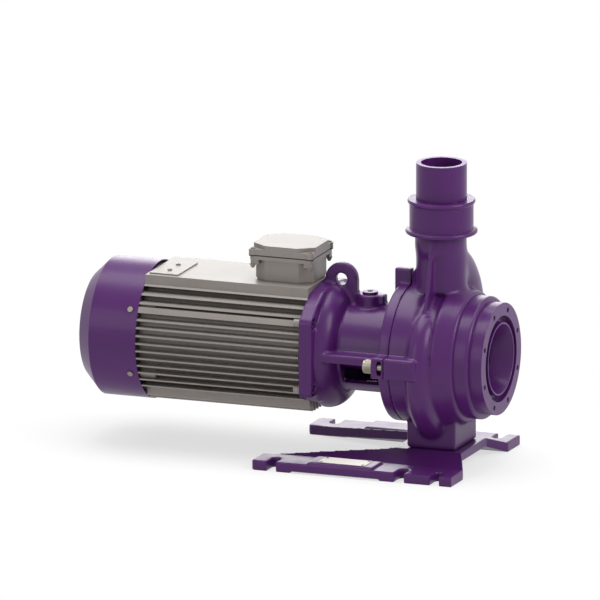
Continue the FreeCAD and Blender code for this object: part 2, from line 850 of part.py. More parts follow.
def bearing_bracket():
    shell = new_body("bracket_shell")
    turned(shell, [
        (at(D.seam_back), ZERO), (at(D.seam_back), D.back_disc_radius),
        (at(D.bracket_disc_rear), D.back_disc_radius), (at(D.bracket_disc_rear), D.bracket_neck),
        (at(D.shoulder_start), D.bracket_neck), (at(D.shoulder_end), D.shoulder_radius, D.shoulder_arc),
        (at(D.shoulder_rear), D.shoulder_radius), (at(D.shoulder_rear), D.barrel_radius),
        (at(D.motor_front), D.barrel_radius), (at(D.motor_front), ZERO),
    ])
    turned(shell, box_outline(at(D.lantern_rear), at(D.lantern_front), D.oil_tube_radius, D.lantern_radius),
           kind="Groove")
    pushed(shell, "XY_Plane", D.window_top, D.window_top - D.window_low,
           box_outline(at(D.window_rear), at(D.window_front), -D.bracket_neck - 2, -D.oil_tube_radius - 6),
           kind="Pocket")
    pushed(shell, "XY_Plane", D.window_top, D.window_top - D.window_low,
           box_outline(at(D.window_rear), at(D.window_front), D.oil_tube_radius + 6, D.bracket_neck + 2),
           kind="Pocket")

    plate = new_body("motor_flange_plate")
    near = [(-D.plate_top_out, D.plate_top_rise), (-D.plate_crown_out, D.plate_crown_rise),
            (-D.plate_slope_out, D.plate_slope_rise), (-D.plate_shoulder_out, D.plate_shoulder_rise),
            (-D.plate_side, D.plate_waist), (-D.plate_side, -D.plate_waist),
            (-D.plate_shoulder_out, -D.plate_tuck_fall), (-D.plate_tuck_out, -D.plate_tuck_fall),
            (-D.plate_low_out, -D.plate_low_fall)]
    far = [(-out, rise) for out, rise in near[::-1]]
    pushed(plate, "YZ_Plane", at(D.motor_front), D.motor_front - D.motor_flange_front, near + far)

    eye = new_body("lifting_eye")
    eye_front = D.eye_back - D.eye_radius
    eye_rear = D.eye_back + D.eye_radius
    pushed(eye, "XZ_Plane", -D.eye_half, D.eye_half * 2, [
        (at(eye_front), D.lantern_radius + 6), (at(eye_front), D.eye_rise),
        (at(D.eye_back), D.eye_rise + D.eye_radius, D.eye_radius), (at(eye_rear), D.eye_rise, D.eye_radius),
        (at(D.motor_front), D.shoulder_radius),
        (at(D.motor_front), D.bearing_land),
        (at(D.shoulder_end), D.bearing_land),
    ])
    boss = rod("oil_boss", "z", at(D.boss_back), ZERO, D.oil_tube_radius - 5, D.boss_radius,
               D.boss_rise - D.oil_tube_radius + 5)
    block = box("oil_boss_block", at(D.boss_back), at(D.boss_block_front), -D.boss_block_half, D.boss_block_half,
                D.boss_block_low, D.boss_rise)
    stem = box("oil_boss_stem", at(D.boss_back), at(D.bracket_disc_rear), -D.top_lug_half, D.top_lug_half,
               D.lantern_radius + 4, D.boss_block_low)
    ledges = [box(f"ledge_{side}", at(D.motor_flange_front), at(D.bracket_disc_rear), low, high,
                  -D.ledge_half, D.ledge_half)
              for side, low, high in (("near", -D.ledge_out, -D.lantern_radius - 4),
                                      ("far", D.lantern_radius + 4, D.ledge_out))]
    lugs = [box(f"bracket_lug_{side}", at(D.lug_rear), at(D.seam_back), low, high,
                -D.lug_half_height, D.lug_half_height)
            for side, low, high in (("near", -D.lug_out, -D.bracket_neck + 1), ("far", D.bracket_neck - 1, D.lug_out))]
    top_lug = box("bracket_top_lug", at(D.top_lug_rear), at(D.seam_back), -D.top_lug_half, D.top_lug_half,
                  D.lantern_radius + 4, D.top_lug_rise)
    outside = united("bracket_outside", [shell, plate, eye, boss, block, stem, top_lug] + ledges + lugs)

    bore = new_body("bracket_bore")
    seat = D.front_bearing_radius + D.fit_gap
    turned(bore, [
        (at(D.seam_back - 1), ZERO), (at(D.seam_back - 1), D.oil_bore), (at(D.oil_rear), D.oil_bore),
        (at(D.oil_rear), D.lip_radius + D.fit_gap), (at(D.lip_rear), D.lip_radius + D.fit_gap),
        (at(D.lip_rear), D.front_bearing_bore + 4), (at(D.front_bearing_back), D.front_bearing_bore + 4),
        (at(D.front_bearing_back), seat), (at(D.bearing_land_back), seat),
        (at(D.bearing_land_back), D.bearing_land), (at(D.bracket_hollow), D.bearing_land),
        (at(D.bracket_hollow), D.winding_out - 5), (at(D.bearing_land_back), D.winding_out + 5),
        (at(D.motor_front + 1), D.winding_out + 5), (at(D.motor_front + 1), ZERO),
    ])
    eye_hole = rod("eye_hole", "y", at(D.eye_back), -D.eye_half - 1, D.eye_rise, D.eye_hole, D.eye_half * 2 + 2)
    oil_hole = rod("oil_hole", "z", at(D.boss_back), ZERO, ZERO, D.plug_thread + D.fit_gap, D.boss_rise + 1)
    holes = [rod(f"lug_hole_{sign}", "x", at(D.lug_rear + 1), D.lug_bolt_out * sign, ZERO,
                 D.lug_bolt_radius + 0.5, D.lug_rear - D.seam_back + 2) for sign in (-1, 1)]
    slots = [box(f"lug_slot_{side}", at(D.lug_slot_rear), at(D.lug_slot_front), low, high,
                 -D.lug_slot_rise, D.lug_slot_rise)
             for side, low, high in (("near", -D.lug_out - 1, -D.lug_slot_out), ("far", D.lug_slot_out, D.lug_out + 1))]
    for number, (out, rise) in enumerate(motor_screw_places()):
        holes.append(rod(f"motor_screw_pocket_{number}", "x", at(D.motor_screw_seat), out, rise,
                         D.motor_screw_pocket, D.motor_screw_seat - D.motor_flange_front + 1))
        holes.append(rod(f"motor_screw_hole_{number}", "x", at(D.motor_front + 1), out, rise,
                         D.motor_screw_radius + 0.5, D.motor_front - D.motor_screw_seat + 2))
    keep(less("bearing_bracket", outside, [bore, eye_hole, oil_hole] + holes + slots), "bearing_bracket")


def motor_screw_places():
    return [(D.motor_screw_out * y, D.motor_screw_rise * z) for y in (-1, 1) for z in (-1, 1)]


def shield_screw_places():
    angles = [math.radians(float(D.shield_screw_angle) * side + turn)
              for side, turn in ((1, 0), (-1, 0), (1, 180), (-1, 180))]
    return [(D.shield_screw_circle * -math.sin(angle), D.shield_screw_circle * math.cos(angle))
            for angle in angles]


def socket_screw(name, head_radius, head_length, radius, length, socket, head_sides=None):
    """A screw on its own axis, shank up from zero and head below, with a hexagon socket or a hexagon head."""
    shank = doc.addObject("Part::Cylinder", name + "_shank")
    bind(shank, "Radius", radius)
    bind(shank, "Height", length)
    if head_sides:
        head = doc.addObject("Part::Prism", name + "_head")
        head.Polygon = head_sides
        bind(head, "Circumradius", head_radius)
    else:
        head = doc.addObject("Part::Cylinder", name + "_head")
        bind(head, "Radius", head_radius)
    bind(head, "Height", head_length)
    bind(head, "Placement.Base.z", -head_length)
    solid = united(name + "_solid", [shank, head])
    if socket is None:
        return solid
    hollow = doc.addObject("Part::Prism", name + "_socket")
    hollow.Polygon = 6
    bind(hollow, "Circumradius", socket)
    bind(hollow, "Height", head_length * 0.6 + 1)
    bind(hollow, "Placement.Base.z", -head_length - 1)
    return less(name + "_model", solid, [hollow])


def copies(label, model, places):
    """Sets one copy of a model at each place, as a group of separate solids."""
    doc.recompute()
    solids = []
    for place in places:
        solid = model.Shape.copy()
        solid.Placement = place.multiply(solid.Placement)
        solids.append(solid)
    item = doc.addObject("Part::Feature", label)
    item.Shape = Part.makeCompound(solids)
    item.Placement = FreeCAD.Placement()
    return keep(item, label)


def facing(x, y, z, axis, angle=0.0, on_shaft=True):
    """A place whose own +Z points along +X or -X, or up turned about the shaft by an angle."""
    base = vector(x, y, float(z) + (float(D.shaft_height) if on_shaft else 0.0))
    rotations = {
        "+x": FreeCAD.Rotation(FreeCAD.Vector(0, 1, 0), 90),
        "-x": FreeCAD.Rotation(FreeCAD.Vector(0, 1, 0), -90),
        "up": FreeCAD.Rotation(),
        "down": FreeCAD.Rotation(FreeCAD.Vector(1, 0, 0), 180),
        "turned": FreeCAD.Rotation(FreeCAD.Vector(1, 0, 0), angle),
    }
    return FreeCAD.Placement(base, rotations[axis])


def bracket_fasteners():
    bolt = socket_screw("clamp_bolt", D.lug_head_radius, D.lug_head_length, D.lug_bolt_radius,
                        D.lug_bolt_length, D.lug_head_radius * 0.65)
    copies("casing_clamp_bolts", bolt, [facing(at(D.lug_rear), D.lug_bolt_out * sign, 0, "+x")
                                        for sign in (-1, 1)])
    screw = socket_screw("motor_screw", D.motor_screw_radius * 1.6, D.motor_screw_radius * 2,
                         D.motor_screw_radius, D.motor_screw_reach, D.motor_screw_radius * 0.9)
    copies("motor_flange_screws", screw, [facing(at(D.motor_screw_seat), out, rise, "-x")
                                          for out, rise in motor_screw_places()])
    foot = socket_screw("pedestal_bolt", D.pedestal_bolt_radius * 1.7, D.pedestal_bolt_radius * 1.25,
                        D.pedestal_bolt_radius, D.deck_thick + D.pedestal_bolt_reach, None, head_sides=6)
    copies("pedestal_bolts", foot, [facing(at(back), out, D.deck_top - D.deck_thick, "up", on_shaft=False)
                                    for back, out in pedestal_places()])


def oil_plug():
    washer_top = D.boss_rise + D.plug_washer
    place = (at(D.boss_back), ZERO)
    plug = new_body("oil_plug")
    drilled(plug, "XY_Plane", washer_top - D.plug_depth, D.plug_depth, [place + (D.plug_thread,)], kind="Pad")
    drilled(plug, "XY_Plane", washer_top, D.plug_flange, [place + (D.plug_radius,)], kind="Pad")
    pushed(plug, "XY_Plane", washer_top + D.plug_flange, D.plug_flange + D.plug_depth / 2,
           hexagon(place[0], place[1], D.plug_hex), kind="Pocket")
    keep(plug, "oil_plug")
    washer = new_body("oil_plug_washer")
    drilled(washer, "XY_Plane", D.boss_rise, D.plug_washer, [place + (D.plug_radius,)], kind="Pad")
    drilled(washer, "XY_Plane", washer_top, D.plug_washer, [place + (D.plug_thread + D.fit_gap,)])
    keep(washer, "oil_plug_washer")


def drain_plug():
    model = socket_screw("drain_model", D.drain_radius + 4, D.plug_flange * 2, D.drain_radius,
                         D.drain_boss_length - 4, None, head_sides=6)
    place = FreeCAD.Placement(vector(at(D.volute_back), D.drain_boss_out, D.shaft_height - D.drain_fall),
                              FreeCAD.Rotation(FreeCAD.Vector(1, 0, 0), 90))
    copies("drain_plug", model, [place])


def shaft_line():
    shaft = new_body("shaft")
    groove_depth = 1.3
    turned(shaft, [
        (at(D.shaft_end_back), ZERO), (at(D.shaft_end_back), D.impeller_seat_radius),
        (at(D.impeller_rear), D.impeller_seat_radius), (at(D.impeller_rear), D.seal_shaft_radius),
        (at(D.bearing_shoulder), D.seal_shaft_radius), (at(D.bearing_shoulder), D.front_bearing_bore),
        (at(D.front_bearing_back - D.circlip_width), D.front_bearing_bore),
        (at(D.front_bearing_back - D.circlip_width), D.front_bearing_bore - groove_depth),
        (at(D.front_bearing_back), D.front_bearing_bore - groove_depth),
        (at(D.front_bearing_back), D.front_bearing_bore),
        (at(D.front_bearing_back + D.front_bearing_width), D.front_bearing_bore),
        (at(D.front_bearing_back + D.front_bearing_width), D.shaft_waist_radius),
        (at(D.rotor_front), D.shaft_waist_radius), (at(D.rotor_front), D.rotor_seat_radius),
        (at(D.rotor_rear), D.rotor_seat_radius), (at(D.rotor_rear), D.rear_shaft_radius),
        (at(D.rear_bearing_back), D.rear_shaft_radius), (at(D.rear_bearing_back), D.rear_bearing_bore),
        (at(D.rear_bearing_back + D.rear_bearing_width), D.rear_bearing_bore),
        (at(D.rear_bearing_back + D.rear_bearing_width), D.fan_seat_radius),
        (at(D.fan_rear), D.fan_seat_radius), (at(D.fan_rear), D.fan_seat_radius - groove_depth),
        (at(D.fan_rear + D.circlip_width), D.fan_seat_radius - groove_depth),
        (at(D.fan_rear + D.circlip_width), D.fan_seat_radius), (at(D.shaft_rear_back), D.fan_seat_radius),
        (at(D.shaft_rear_back), ZERO),
    ])
    half = D.key_width / 2
    seat = D.impeller_seat_radius - D.key_depth
    pushed(shaft, "XY_Plane", D.impeller_seat_radius + 1, D.key_depth + 1,
           box_outline(at(D.impeller_rear - D.key_inset), at(D.impeller_rear - D.key_inset - D.impeller_key_length),
                       -half, half), kind="Pocket")
    pushed(shaft, "XY_Plane", D.rotor_seat_radius + 1, D.key_depth + 1,
           box_outline(at(D.rotor_rear - D.key_inset), at(D.rotor_front + D.key_inset), -half, half), kind="Pocket")
    drilled(shaft, "YZ_Plane", at(D.shaft_end_back) + 1, D.bolt_reach + 3,
            [(ZERO, ZERO, D.impeller_bolt_radius + D.fit_gap)])
    keep(shaft, "shaft")

    top = D.impeller_seat_radius + D.key_depth * 0.6
    impeller_key = box("impeller_key", at(D.impeller_rear - D.key_inset),
                       at(D.impeller_rear - D.key_inset - D.impeller_key_length), -half, half, seat, top)
    rotor_seat = D.rotor_seat_radius - D.key_depth
    rotor_key = box("rotor_key", at(D.rotor_rear - D.key_inset), at(D.rotor_front + D.key_inset), -half, half,
                    rotor_seat, D.rotor_seat_radius + D.key_depth * 0.6)
    keep(group("shaft_keys", [impeller_key, rotor_key]), "shaft_keys")

    washer = ring("impeller_washer", D.impeller_nose - D.washer_thick, D.impeller_nose,
                  D.impeller_bolt_radius + D.fit_gap, D.impeller_seat_radius + 8)
    keep(washer, "impeller_washer")
    bolt = socket_screw("impeller_bolt_model", D.impeller_bolt_radius * 1.7, D.impeller_bolt_radius * 1.3,
                        D.impeller_bolt_radius, D.bolt_reach, None, head_sides=6)
    copies("impeller_bolt", bolt, [facing(at(D.impeller_nose - D.washer_thick), 0, 0, "-x")])
    clip = ring("bearing_circlip", D.front_bearing_back - D.circlip_width + 0.1, D.front_bearing_back,
                D.front_bearing_bore - groove_depth + 0.1, D.front_bearing_bore + 4)
    keep(clip, "bearing_circlip")
    fan_clip = ring("fan_circlip", D.fan_rear, D.fan_rear + D.circlip_width - 0.1,
                    D.fan_seat_radius - groove_depth + 0.1, D.fan_seat_radius + 4)
    keep(fan_clip, "fan_circlip")


def impeller():
    body = new_body("impeller")
    bore = D.impeller_seat_radius + D.fit_gap
    turned(body, [
        (at(D.impeller_rear), bore), (at(D.impeller_nose), bore), (at(D.impeller_nose), D.impeller_hub_radius - 3),
        (at(D.outlet_rear), D.impeller_hub_radius + 26, D.hub_arc), (at(D.outlet_rear), D.impeller_radius),
        (at(D.outlet_rear + D.shroud_thick), D.impeller_radius),
        (at(D.outlet_rear + D.shroud_thick), D.impeller_hub_radius + 8), (at(D.impeller_rear), D.impeller_hub_radius),
    ])
    inner, outer = D.vane_inner, D.impeller_radius - 1
    sweep = math.radians(58)
    away = D.vane_thick
    start, end = (inner, ZERO), (outer * math.cos(sweep), outer * math.sin(sweep))
    pushed(body, "YZ_Plane", at(D.outlet_rear + 1), D.outlet_rear - D.outlet_front + 2, [
        start, (end[0], end[1], D.vane_arc), (end[0] - away * 0.77, end[1] + away * 0.64),
        (start[0] - away * 0.9, start[1] + away * 0.45, -(D.vane_arc - away)),
    ])
    vane = body.Group[-1]
    around(body, vane, 5)
    lip = D.eye_lip_radius
    turned(body, [
        (at(D.eye_lip_front), D.eye_bore), (at(D.outlet_front - 24), D.eye_bore + 1),
        (at(D.outlet_front), D.impeller_radius - 30), (at(D.outlet_front), D.impeller_radius),
        (at(D.outlet_front - D.shroud_thick), D.impeller_radius),
        (at(D.outlet_front - D.shroud_thick), D.impeller_radius - 28), (at(D.outlet_front - 30), lip),
        (at(D.eye_lip_front), lip),
    ])
    pushed(body, "XY_Plane", D.impeller_seat_radius + D.key_depth * 0.6 + D.fit_gap, D.key_depth,
           box_outline(at(D.impeller_rear + 1), at(D.impeller_nose - 1), -D.key_width / 2 - D.fit_gap,
                       D.key_width / 2 + D.fit_gap), kind="Pocket")
    keep(body, "impeller")


def shaft_seal():
    cover = new_body("seal_cover")
    rim = D.chamber_radius - D.fit_gap
    groove = D.o_ring_back
    turned(cover, [
        (at(D.seal_cover_front), D.seal_seat_radius - 6), (at(D.seal_cover_front), rim),
        (at(groove), rim), (at(groove), rim - D.ring_cord / 2), (at(groove + D.ring_cord), rim - D.ring_cord / 2),
        (at(groove + D.ring_cord), rim), (at(D.seam_back), rim),
        (at(D.seam_back), D.oil_bore), (at(D.seal_cover_front + D.cover_plate), D.oil_bore),
        (at(D.seal_cover_front + D.cover_plate), D.seal_seat_radius - 6),
    ])
    keep(cover, "seal_cover")
    o_ring = ring("casing_o_ring", groove + D.fit_gap, groove + D.ring_cord - D.fit_gap,
                  rim - D.ring_cord / 2 + D.fit_gap, D.chamber_radius + D.ring_cord / 2 - D.fit_gap)
    keep(o_ring, "casing_o_ring")
    seat_front = D.seal_cover_front + D.cover_plate
    seat = ring("seal_stationary_seat", seat_front, seat_front + D.seal_seat_length,
                D.seal_shaft_radius + 1, D.seal_seat_radius)
    keep(seat, "seal_stationary_seat")
    ring_front = seat_front + D.seal_seat_length + D.face_gap
    rotating = ring("seal_rotating_ring", ring_front, ring_front + D.seal_ring_length,
                    D.seal_shaft_radius + D.fit_gap, D.seal_ring_radius)
    keep(rotating, "seal_rotating_ring")

    spring_front = ring_front + D.seal_ring_length
    length = D.spring_pitch * D.spring_turns
    middle = D.seal_shaft_radius + D.spring_wire + 1
    coil = Part.makeHelix(float(D.spring_pitch), float(length), float(middle))
    wire_centre = FreeCAD.Vector(float(middle), 0, 0)
    circle = Part.Circle(wire_centre, FreeCAD.Vector(0, 1, 0), float(D.spring_wire))
    spring_shape = Part.Wire(coil.Edges).makePipeShell([Part.Wire(circle.toShape())], True, True)
    spring = doc.addObject("Part::Feature", "seal_spring")
    spring.Shape = spring_shape
    bind(spring, "Placement.Base.x", at(spring_front + length + D.spring_wire))
    spring.Placement.Rotation = FreeCAD.Rotation(FreeCAD.Vector(0, 1, 0), 90)
    bind(spring, "Placement.Base.z", D.shaft_height)
    keep(spring, "seal_spring")
    collar_front = spring_front + length + D.spring_wire * 2
    collar = ring("seal_drive_collar", collar_front, collar_front + D.seal_seat_length,
                  D.seal_shaft_radius + D.fit_gap, D.seal_ring_radius)
    keep(collar, "seal_drive_collar")
    lip = new_body("lip_seal")
    front = D.lip_rear - D.lip_width
    turned(lip, [
        (at(front), D.lip_radius), (at(front), D.lip_radius - 4), (at(front + 4), D.lip_radius - 4),
        (at(front + 3), D.seal_shaft_radius + D.fit_gap), (at(front + 5), D.seal_shaft_radius + D.fit_gap),
        (at(D.lip_rear - 2), D.seal_shaft_radius + 5), (at(D.lip_rear), D.seal_shaft_radius + 5),
        (at(D.lip_rear), D.lip_radius),
    ])
    keep(lip, "lip_seal")


def ball_bearing(prefix, back, width, bore, outer, ball, count):
    """Outer ring, inner ring, balls and cage of one deep-groove bearing."""
    pitch = (bore + outer) / 2
    race = ball + 0.3
    lip = ball * 0.62
    for name, low, high in (("outer_ring", pitch + lip, outer), ("inner_ring", bore + 0.02, pitch - lip)):
        body = new_body(f"{prefix}_{name}")
        turned(body, box_outline(at(back + width), at(back), low, high))
        sketch = new_sketch(body, "XZ_Plane")
        draw_circle(sketch, at(back + width / 2), pitch, race)
        turn(body, sketch, "Groove")
        keep(body, f"{prefix}_{name}")
    model = doc.addObject("Part::Sphere", f"{prefix}_ball")
    bind(model, "Radius", ball)
    angles = [2 * math.pi * step / count for step in range(count)]
    spots = [(pitch * -math.sin(angle), pitch * math.cos(angle)) for angle in angles]
    copies(f"{prefix}_balls", model, [facing(at(back + width / 2), out, rise, "up") for out, rise in spots])
    half = ball + 1.5
    cage = ring(f"{prefix}_cage_ring", back + width / 2 - half, back + width / 2 + half,
                pitch - ball * 0.35, pitch + ball * 0.35)
    pockets = []
    for number, (out, rise) in enumerate(spots):
        pocket = doc.addObject("Part::Sphere", f"{prefix}_pocket_{number}")
        bind(pocket, "Radius", ball + 0.3)
        bind(pocket, "Placement.Base.x", at(back + width / 2))
        bind(pocket, "Placement.Base.y", out)
        bind(pocket, "Placement.Base.z", rise + D.shaft_height)
        pockets.append(pocket)
    keep(less(f"{prefix}_cage", cage, pockets), f"{prefix}_cage")


def motor_core():
    bore = D.barrel_bore - D.fit_gap
    keep(ring("stator_core", D.rotor_front, D.rotor_rear, D.stator_bore, bore), "stator_core")
    windings = []
    for name, low, high in (("front", D.rotor_front - D.winding_length, D.rotor_front),
                            ("rear", D.rotor_rear, D.rotor_rear + D.winding_length)):
        body = new_body(f"winding_{name}")
        turned(body, box_outline(at(high), at(low), D.winding_in, D.winding_out))
        edges = [f"Edge{number}" for number, edge in enumerate(recomputed(body).Edges, start=1)
                 if edge.BoundBox.XLength < 0.01]
        round_edges(body, edges, D.winding_round)
        windings.append(body)
    keep(group("stator_windings", windings), "stator_windings")

    rotor = new_body("rotor_core")
    turned(rotor, box_outline(at(D.rotor_rear), at(D.rotor_front), D.rotor_seat_radius + 0.02,
                              D.stator_bore - D.air_gap))
    pushed(rotor, "XY_Plane", D.rotor_seat_radius + D.key_depth * 0.6 + D.fit_gap, D.key_depth,
           box_outline(at(D.rotor_rear + 1), at(D.rotor_front - 1), -D.key_width / 2 - D.fit_gap,
                       D.key_width / 2 + D.fit_gap), kind="Pocket")
    keep(rotor, "rotor_core")
    outer = D.stator_bore - D.air_gap - 2
    rings = [ring("cage_ring_front", D.rotor_front - D.cage_ring_length, D.rotor_front, D.cage_ring_inner, outer),
             ring("cage_ring_rear", D.rotor_rear, D.rotor_rear + D.cage_ring_length, D.cage_ring_inner, outer)]
    keep(group("rotor_cage_rings", rings), "rotor_cage_rings")


def recomputed(body):
    doc.recompute()
    return body.Shape


def round_edges(body, names, radius, kind="Fillet"):
    feature = body.newObject("PartDesign::" + kind, f"{body.Name}_{kind.lower()}")
    feature.Base = (body.Group[-2], names)
    bind(feature, "Radius" if kind == "Fillet" else "Size", radius)
    return feature


def motor_housing():
    front, rear = at(D.motor_front), at(D.motor_rear)
    length = D.motor_rear - D.motor_front
    envelope = rod("fin_envelope", "x", rear, ZERO, ZERO, D.fin_reach, length)
    half = D.fin_thick / 2
    fins = [box(f"side_fin_{step + 6}", rear, front, -D.fin_reach, D.fin_reach, D.fin_pitch * step - half,
                D.fin_pitch * step + half) for step in range(-6, 8)]
    rail = box("side_rail", rear, front, -D.fin_reach, D.fin_reach, D.fin_pitch * 4 - half, D.fin_pitch * 4 + half * 5)
    low_fins = [box(f"low_fin_{step + 5}", rear, front, D.fin_pitch * (step + 0.5) - half,
                    D.fin_pitch * (step + 0.5) + half, -D.low_fin_fall, -D.barrel_bore / 2) for step in range(-5, 5)]
    finned = shared("fins", united("fin_plates", fins + low_fins + [rail]), envelope)
    barrel = rod("barrel", "x", rear, ZERO, ZERO, D.barrel_radius, length)
    block = box("top_block", rear, front, -D.top_block_out, D.top_block_out, D.top_block_low, D.top_block_rise)
    bosses = [rod(f"front_boss_{number}", "x", at(D.motor_front + D.front_boss_length), out, rise,
                  D.front_boss_radius, D.front_boss_length)
              for number, (out, rise) in enumerate(motor_screw_places())]
    bosses += [rod(f"rear_boss_{number}", "x", rear, out, rise, D.rear_boss_radius, D.boss_length)
               for number, (out, rise) in enumerate(shield_screw_places())]
    outside = united("housing_outside", [barrel, finned, block] + bosses)
    bore = rod("housing_bore", "x", rear - 1, ZERO, ZERO, D.barrel_bore, length + 2)
    threads = [rod(f"front_thread_{number}", "x", at(D.motor_front + D.front_boss_length - 2), out, rise,
                   D.motor_screw_radius + D.fit_gap, D.front_boss_length)
               for number, (out, rise) in enumerate(motor_screw_places())]
    threads += [rod(f"rear_thread_{number}", "x", rear - 1, out, rise, D.shield_screw_radius + D.fit_gap,
                    D.boss_length - 5) for number, (out, rise) in enumerate(shield_screw_places())]
    wires = rod("wire_passage", "z", at(D.wire_back), ZERO, D.barrel_bore - 10, D.wire_radius,
                D.top_block_rise - D.barrel_bore + 12)
    keep(less("motor_housing", outside, [bore, wires] + threads), "motor_housing")


def rear_end_shield():
    shield = new_body("rear_shield_turned")
    seat = D.rear_bearing_radius + D.fit_gap
    register = D.barrel_bore - D.fit_gap
    bearing_rear = D.rear_bearing_back + D.rear_bearing_width
    shoulder = D.rear_bearing_back - D.spring_washer
    turned(shield, [
        (at(D.motor_rear - 8), D.rear_shaft_radius + 1.5), (at(D.motor_rear - 8), register),
        (at(D.motor_rear), register), (at(D.motor_rear), D.shield_radius),
        (at(D.motor_rear + D.rear_shield_plate), D.shield_radius), (at(D.motor_rear + D.rear_shield_plate), seat + 12),
        (at(bearing_rear + 2), seat + 12), (at(bearing_rear + 2), seat), (at(shoulder), seat),
        (at(shoulder), D.rear_shaft_radius + 1.5),
    ])
    pads = [spoke(f"cowl_pad_{angle}", D.cowl_screw_back, angle, D.shield_radius - 8,
                  D.cowl_radius - D.shield_radius + 8, D.cowl_screw_radius + 3)
            for angle in cowl_screw_angles()]
    limit = rod("cowl_pad_limit", "x", at(D.cowl_end_back), ZERO, ZERO, D.cowl_radius - D.cowl_sheet - D.fit_gap,
                D.cowl_end_back - D.motor_rear)
    threads = [spoke(f"cowl_thread_{angle}", D.cowl_screw_back, angle, D.shield_radius - 6,
                     D.cowl_radius - D.shield_radius + 8, D.cowl_screw_radius / 2 + D.fit_gap)
               for angle in cowl_screw_angles()]
    holes = [rod(f"shield_hole_{number}", "x", at(D.motor_rear + D.rear_shield_plate + 1), out, rise,
                 D.shield_screw_radius + 0.4, D.rear_shield_plate + 2)
             for number, (out, rise) in enumerate(shield_screw_places())]
    body = united("rear_shield_outside", [shield, shared("cowl_pads", united("cowl_pad_rods", pads), limit)])
    keep(less("rear_end_shield", body, threads + holes), "rear_end_shield")
    screw = socket_screw("shield_screw", D.shield_screw_radius * 1.7, D.shield_screw_radius * 1.2,
                         D.shield_screw_radius, D.shield_screw_reach, None, head_sides=6)
    copies("end_shield_screws", screw, [facing(at(D.motor_rear + D.rear_shield_plate), out, rise, "+x")
                                        for out, rise in shield_screw_places()])
    washer = ring("bearing_spring_washer", shoulder + 0.02, D.rear_bearing_back, D.rear_bearing_radius - 6,
                  D.rear_bearing_radius - 0.5)
    keep(washer, "bearing_spring_washer")


def cowl_screw_angles():
    first = float(D.cowl_screw_angle)
    return [first, 180 - first, 180 + first, 360 - first]


def fan_cowl():
    cowl = new_body("cowl_turned")
    sheet_thick = D.cowl_sheet
    inner = D.cowl_radius - sheet_thick
    turned(cowl, [
        (at(D.motor_rear), inner), (at(D.motor_rear), D.cowl_radius), (at(D.cowl_bend_back), D.cowl_radius),
        (at(D.cowl_end_back), D.cowl_end_radius), (at(D.cowl_end_back), ZERO),
        (at(D.cowl_end_back - sheet_thick), ZERO), (at(D.cowl_end_back - sheet_thick), D.cowl_end_radius - 1.2),
        (at(D.cowl_bend_back - 1), inner),
    ])
    start = at(D.cowl_end_back) + sheet_thick + 1
    for low, count in ((D.grille_inner, 20), (D.grille_outer, 36)):
        slot = pushed(cowl, "YZ_Plane", start, sheet_thick + 2,
                      box_outline(-D.grille_slot / 2, D.grille_slot / 2, low, low + D.grille_length), kind="Pocket")
        around(cowl, slot, count)
    holes = [spoke(f"cowl_hole_{angle}", D.cowl_screw_back, angle, inner - 4, sheet_thick + 8,
                   D.cowl_screw_radius / 2 + 0.3) for angle in cowl_screw_angles()]
    keep(less("fan_cowl", cowl, holes), "fan_cowl")
    screw = socket_screw("cowl_screw", D.cowl_screw_radius, D.cowl_screw_head, D.cowl_screw_radius / 2,
                         D.cowl_radius - D.shield_radius + 3, None)
    places = []
    for angle in cowl_screw_angles():
        spin = math.radians(angle)
        out, rise = D.cowl_radius * -math.sin(spin), D.cowl_radius * math.cos(spin)
        places.append(facing(at(D.cowl_screw_back), out, rise, "turned", 180 + angle))
    copies("cowl_screws", screw, places)


def cooling_fan():
    fan = new_body("cooling_fan")
    bore = D.fan_seat_radius + 0.03
    turned(fan, [
        (at(D.fan_rear), bore), (at(D.fan_front), bore), (at(D.fan_front), D.fan_plate_radius),
        (at(D.fan_front + 3), D.fan_plate_radius), (at(D.fan_front + 3), D.fan_hub_radius),
        (at(D.fan_rear), D.fan_hub_radius),
    ])
    blade = pushed(fan, "YZ_Plane", at(D.fan_rear - 4), D.fan_rear - D.fan_front - 4,
                   box_outline(ZERO - D.fan_blade / 2, ZERO + D.fan_blade / 2, D.fan_hub_radius - 2, D.fan_radius))
    around(fan, blade, 7)
    keep(fan, "cooling_fan")


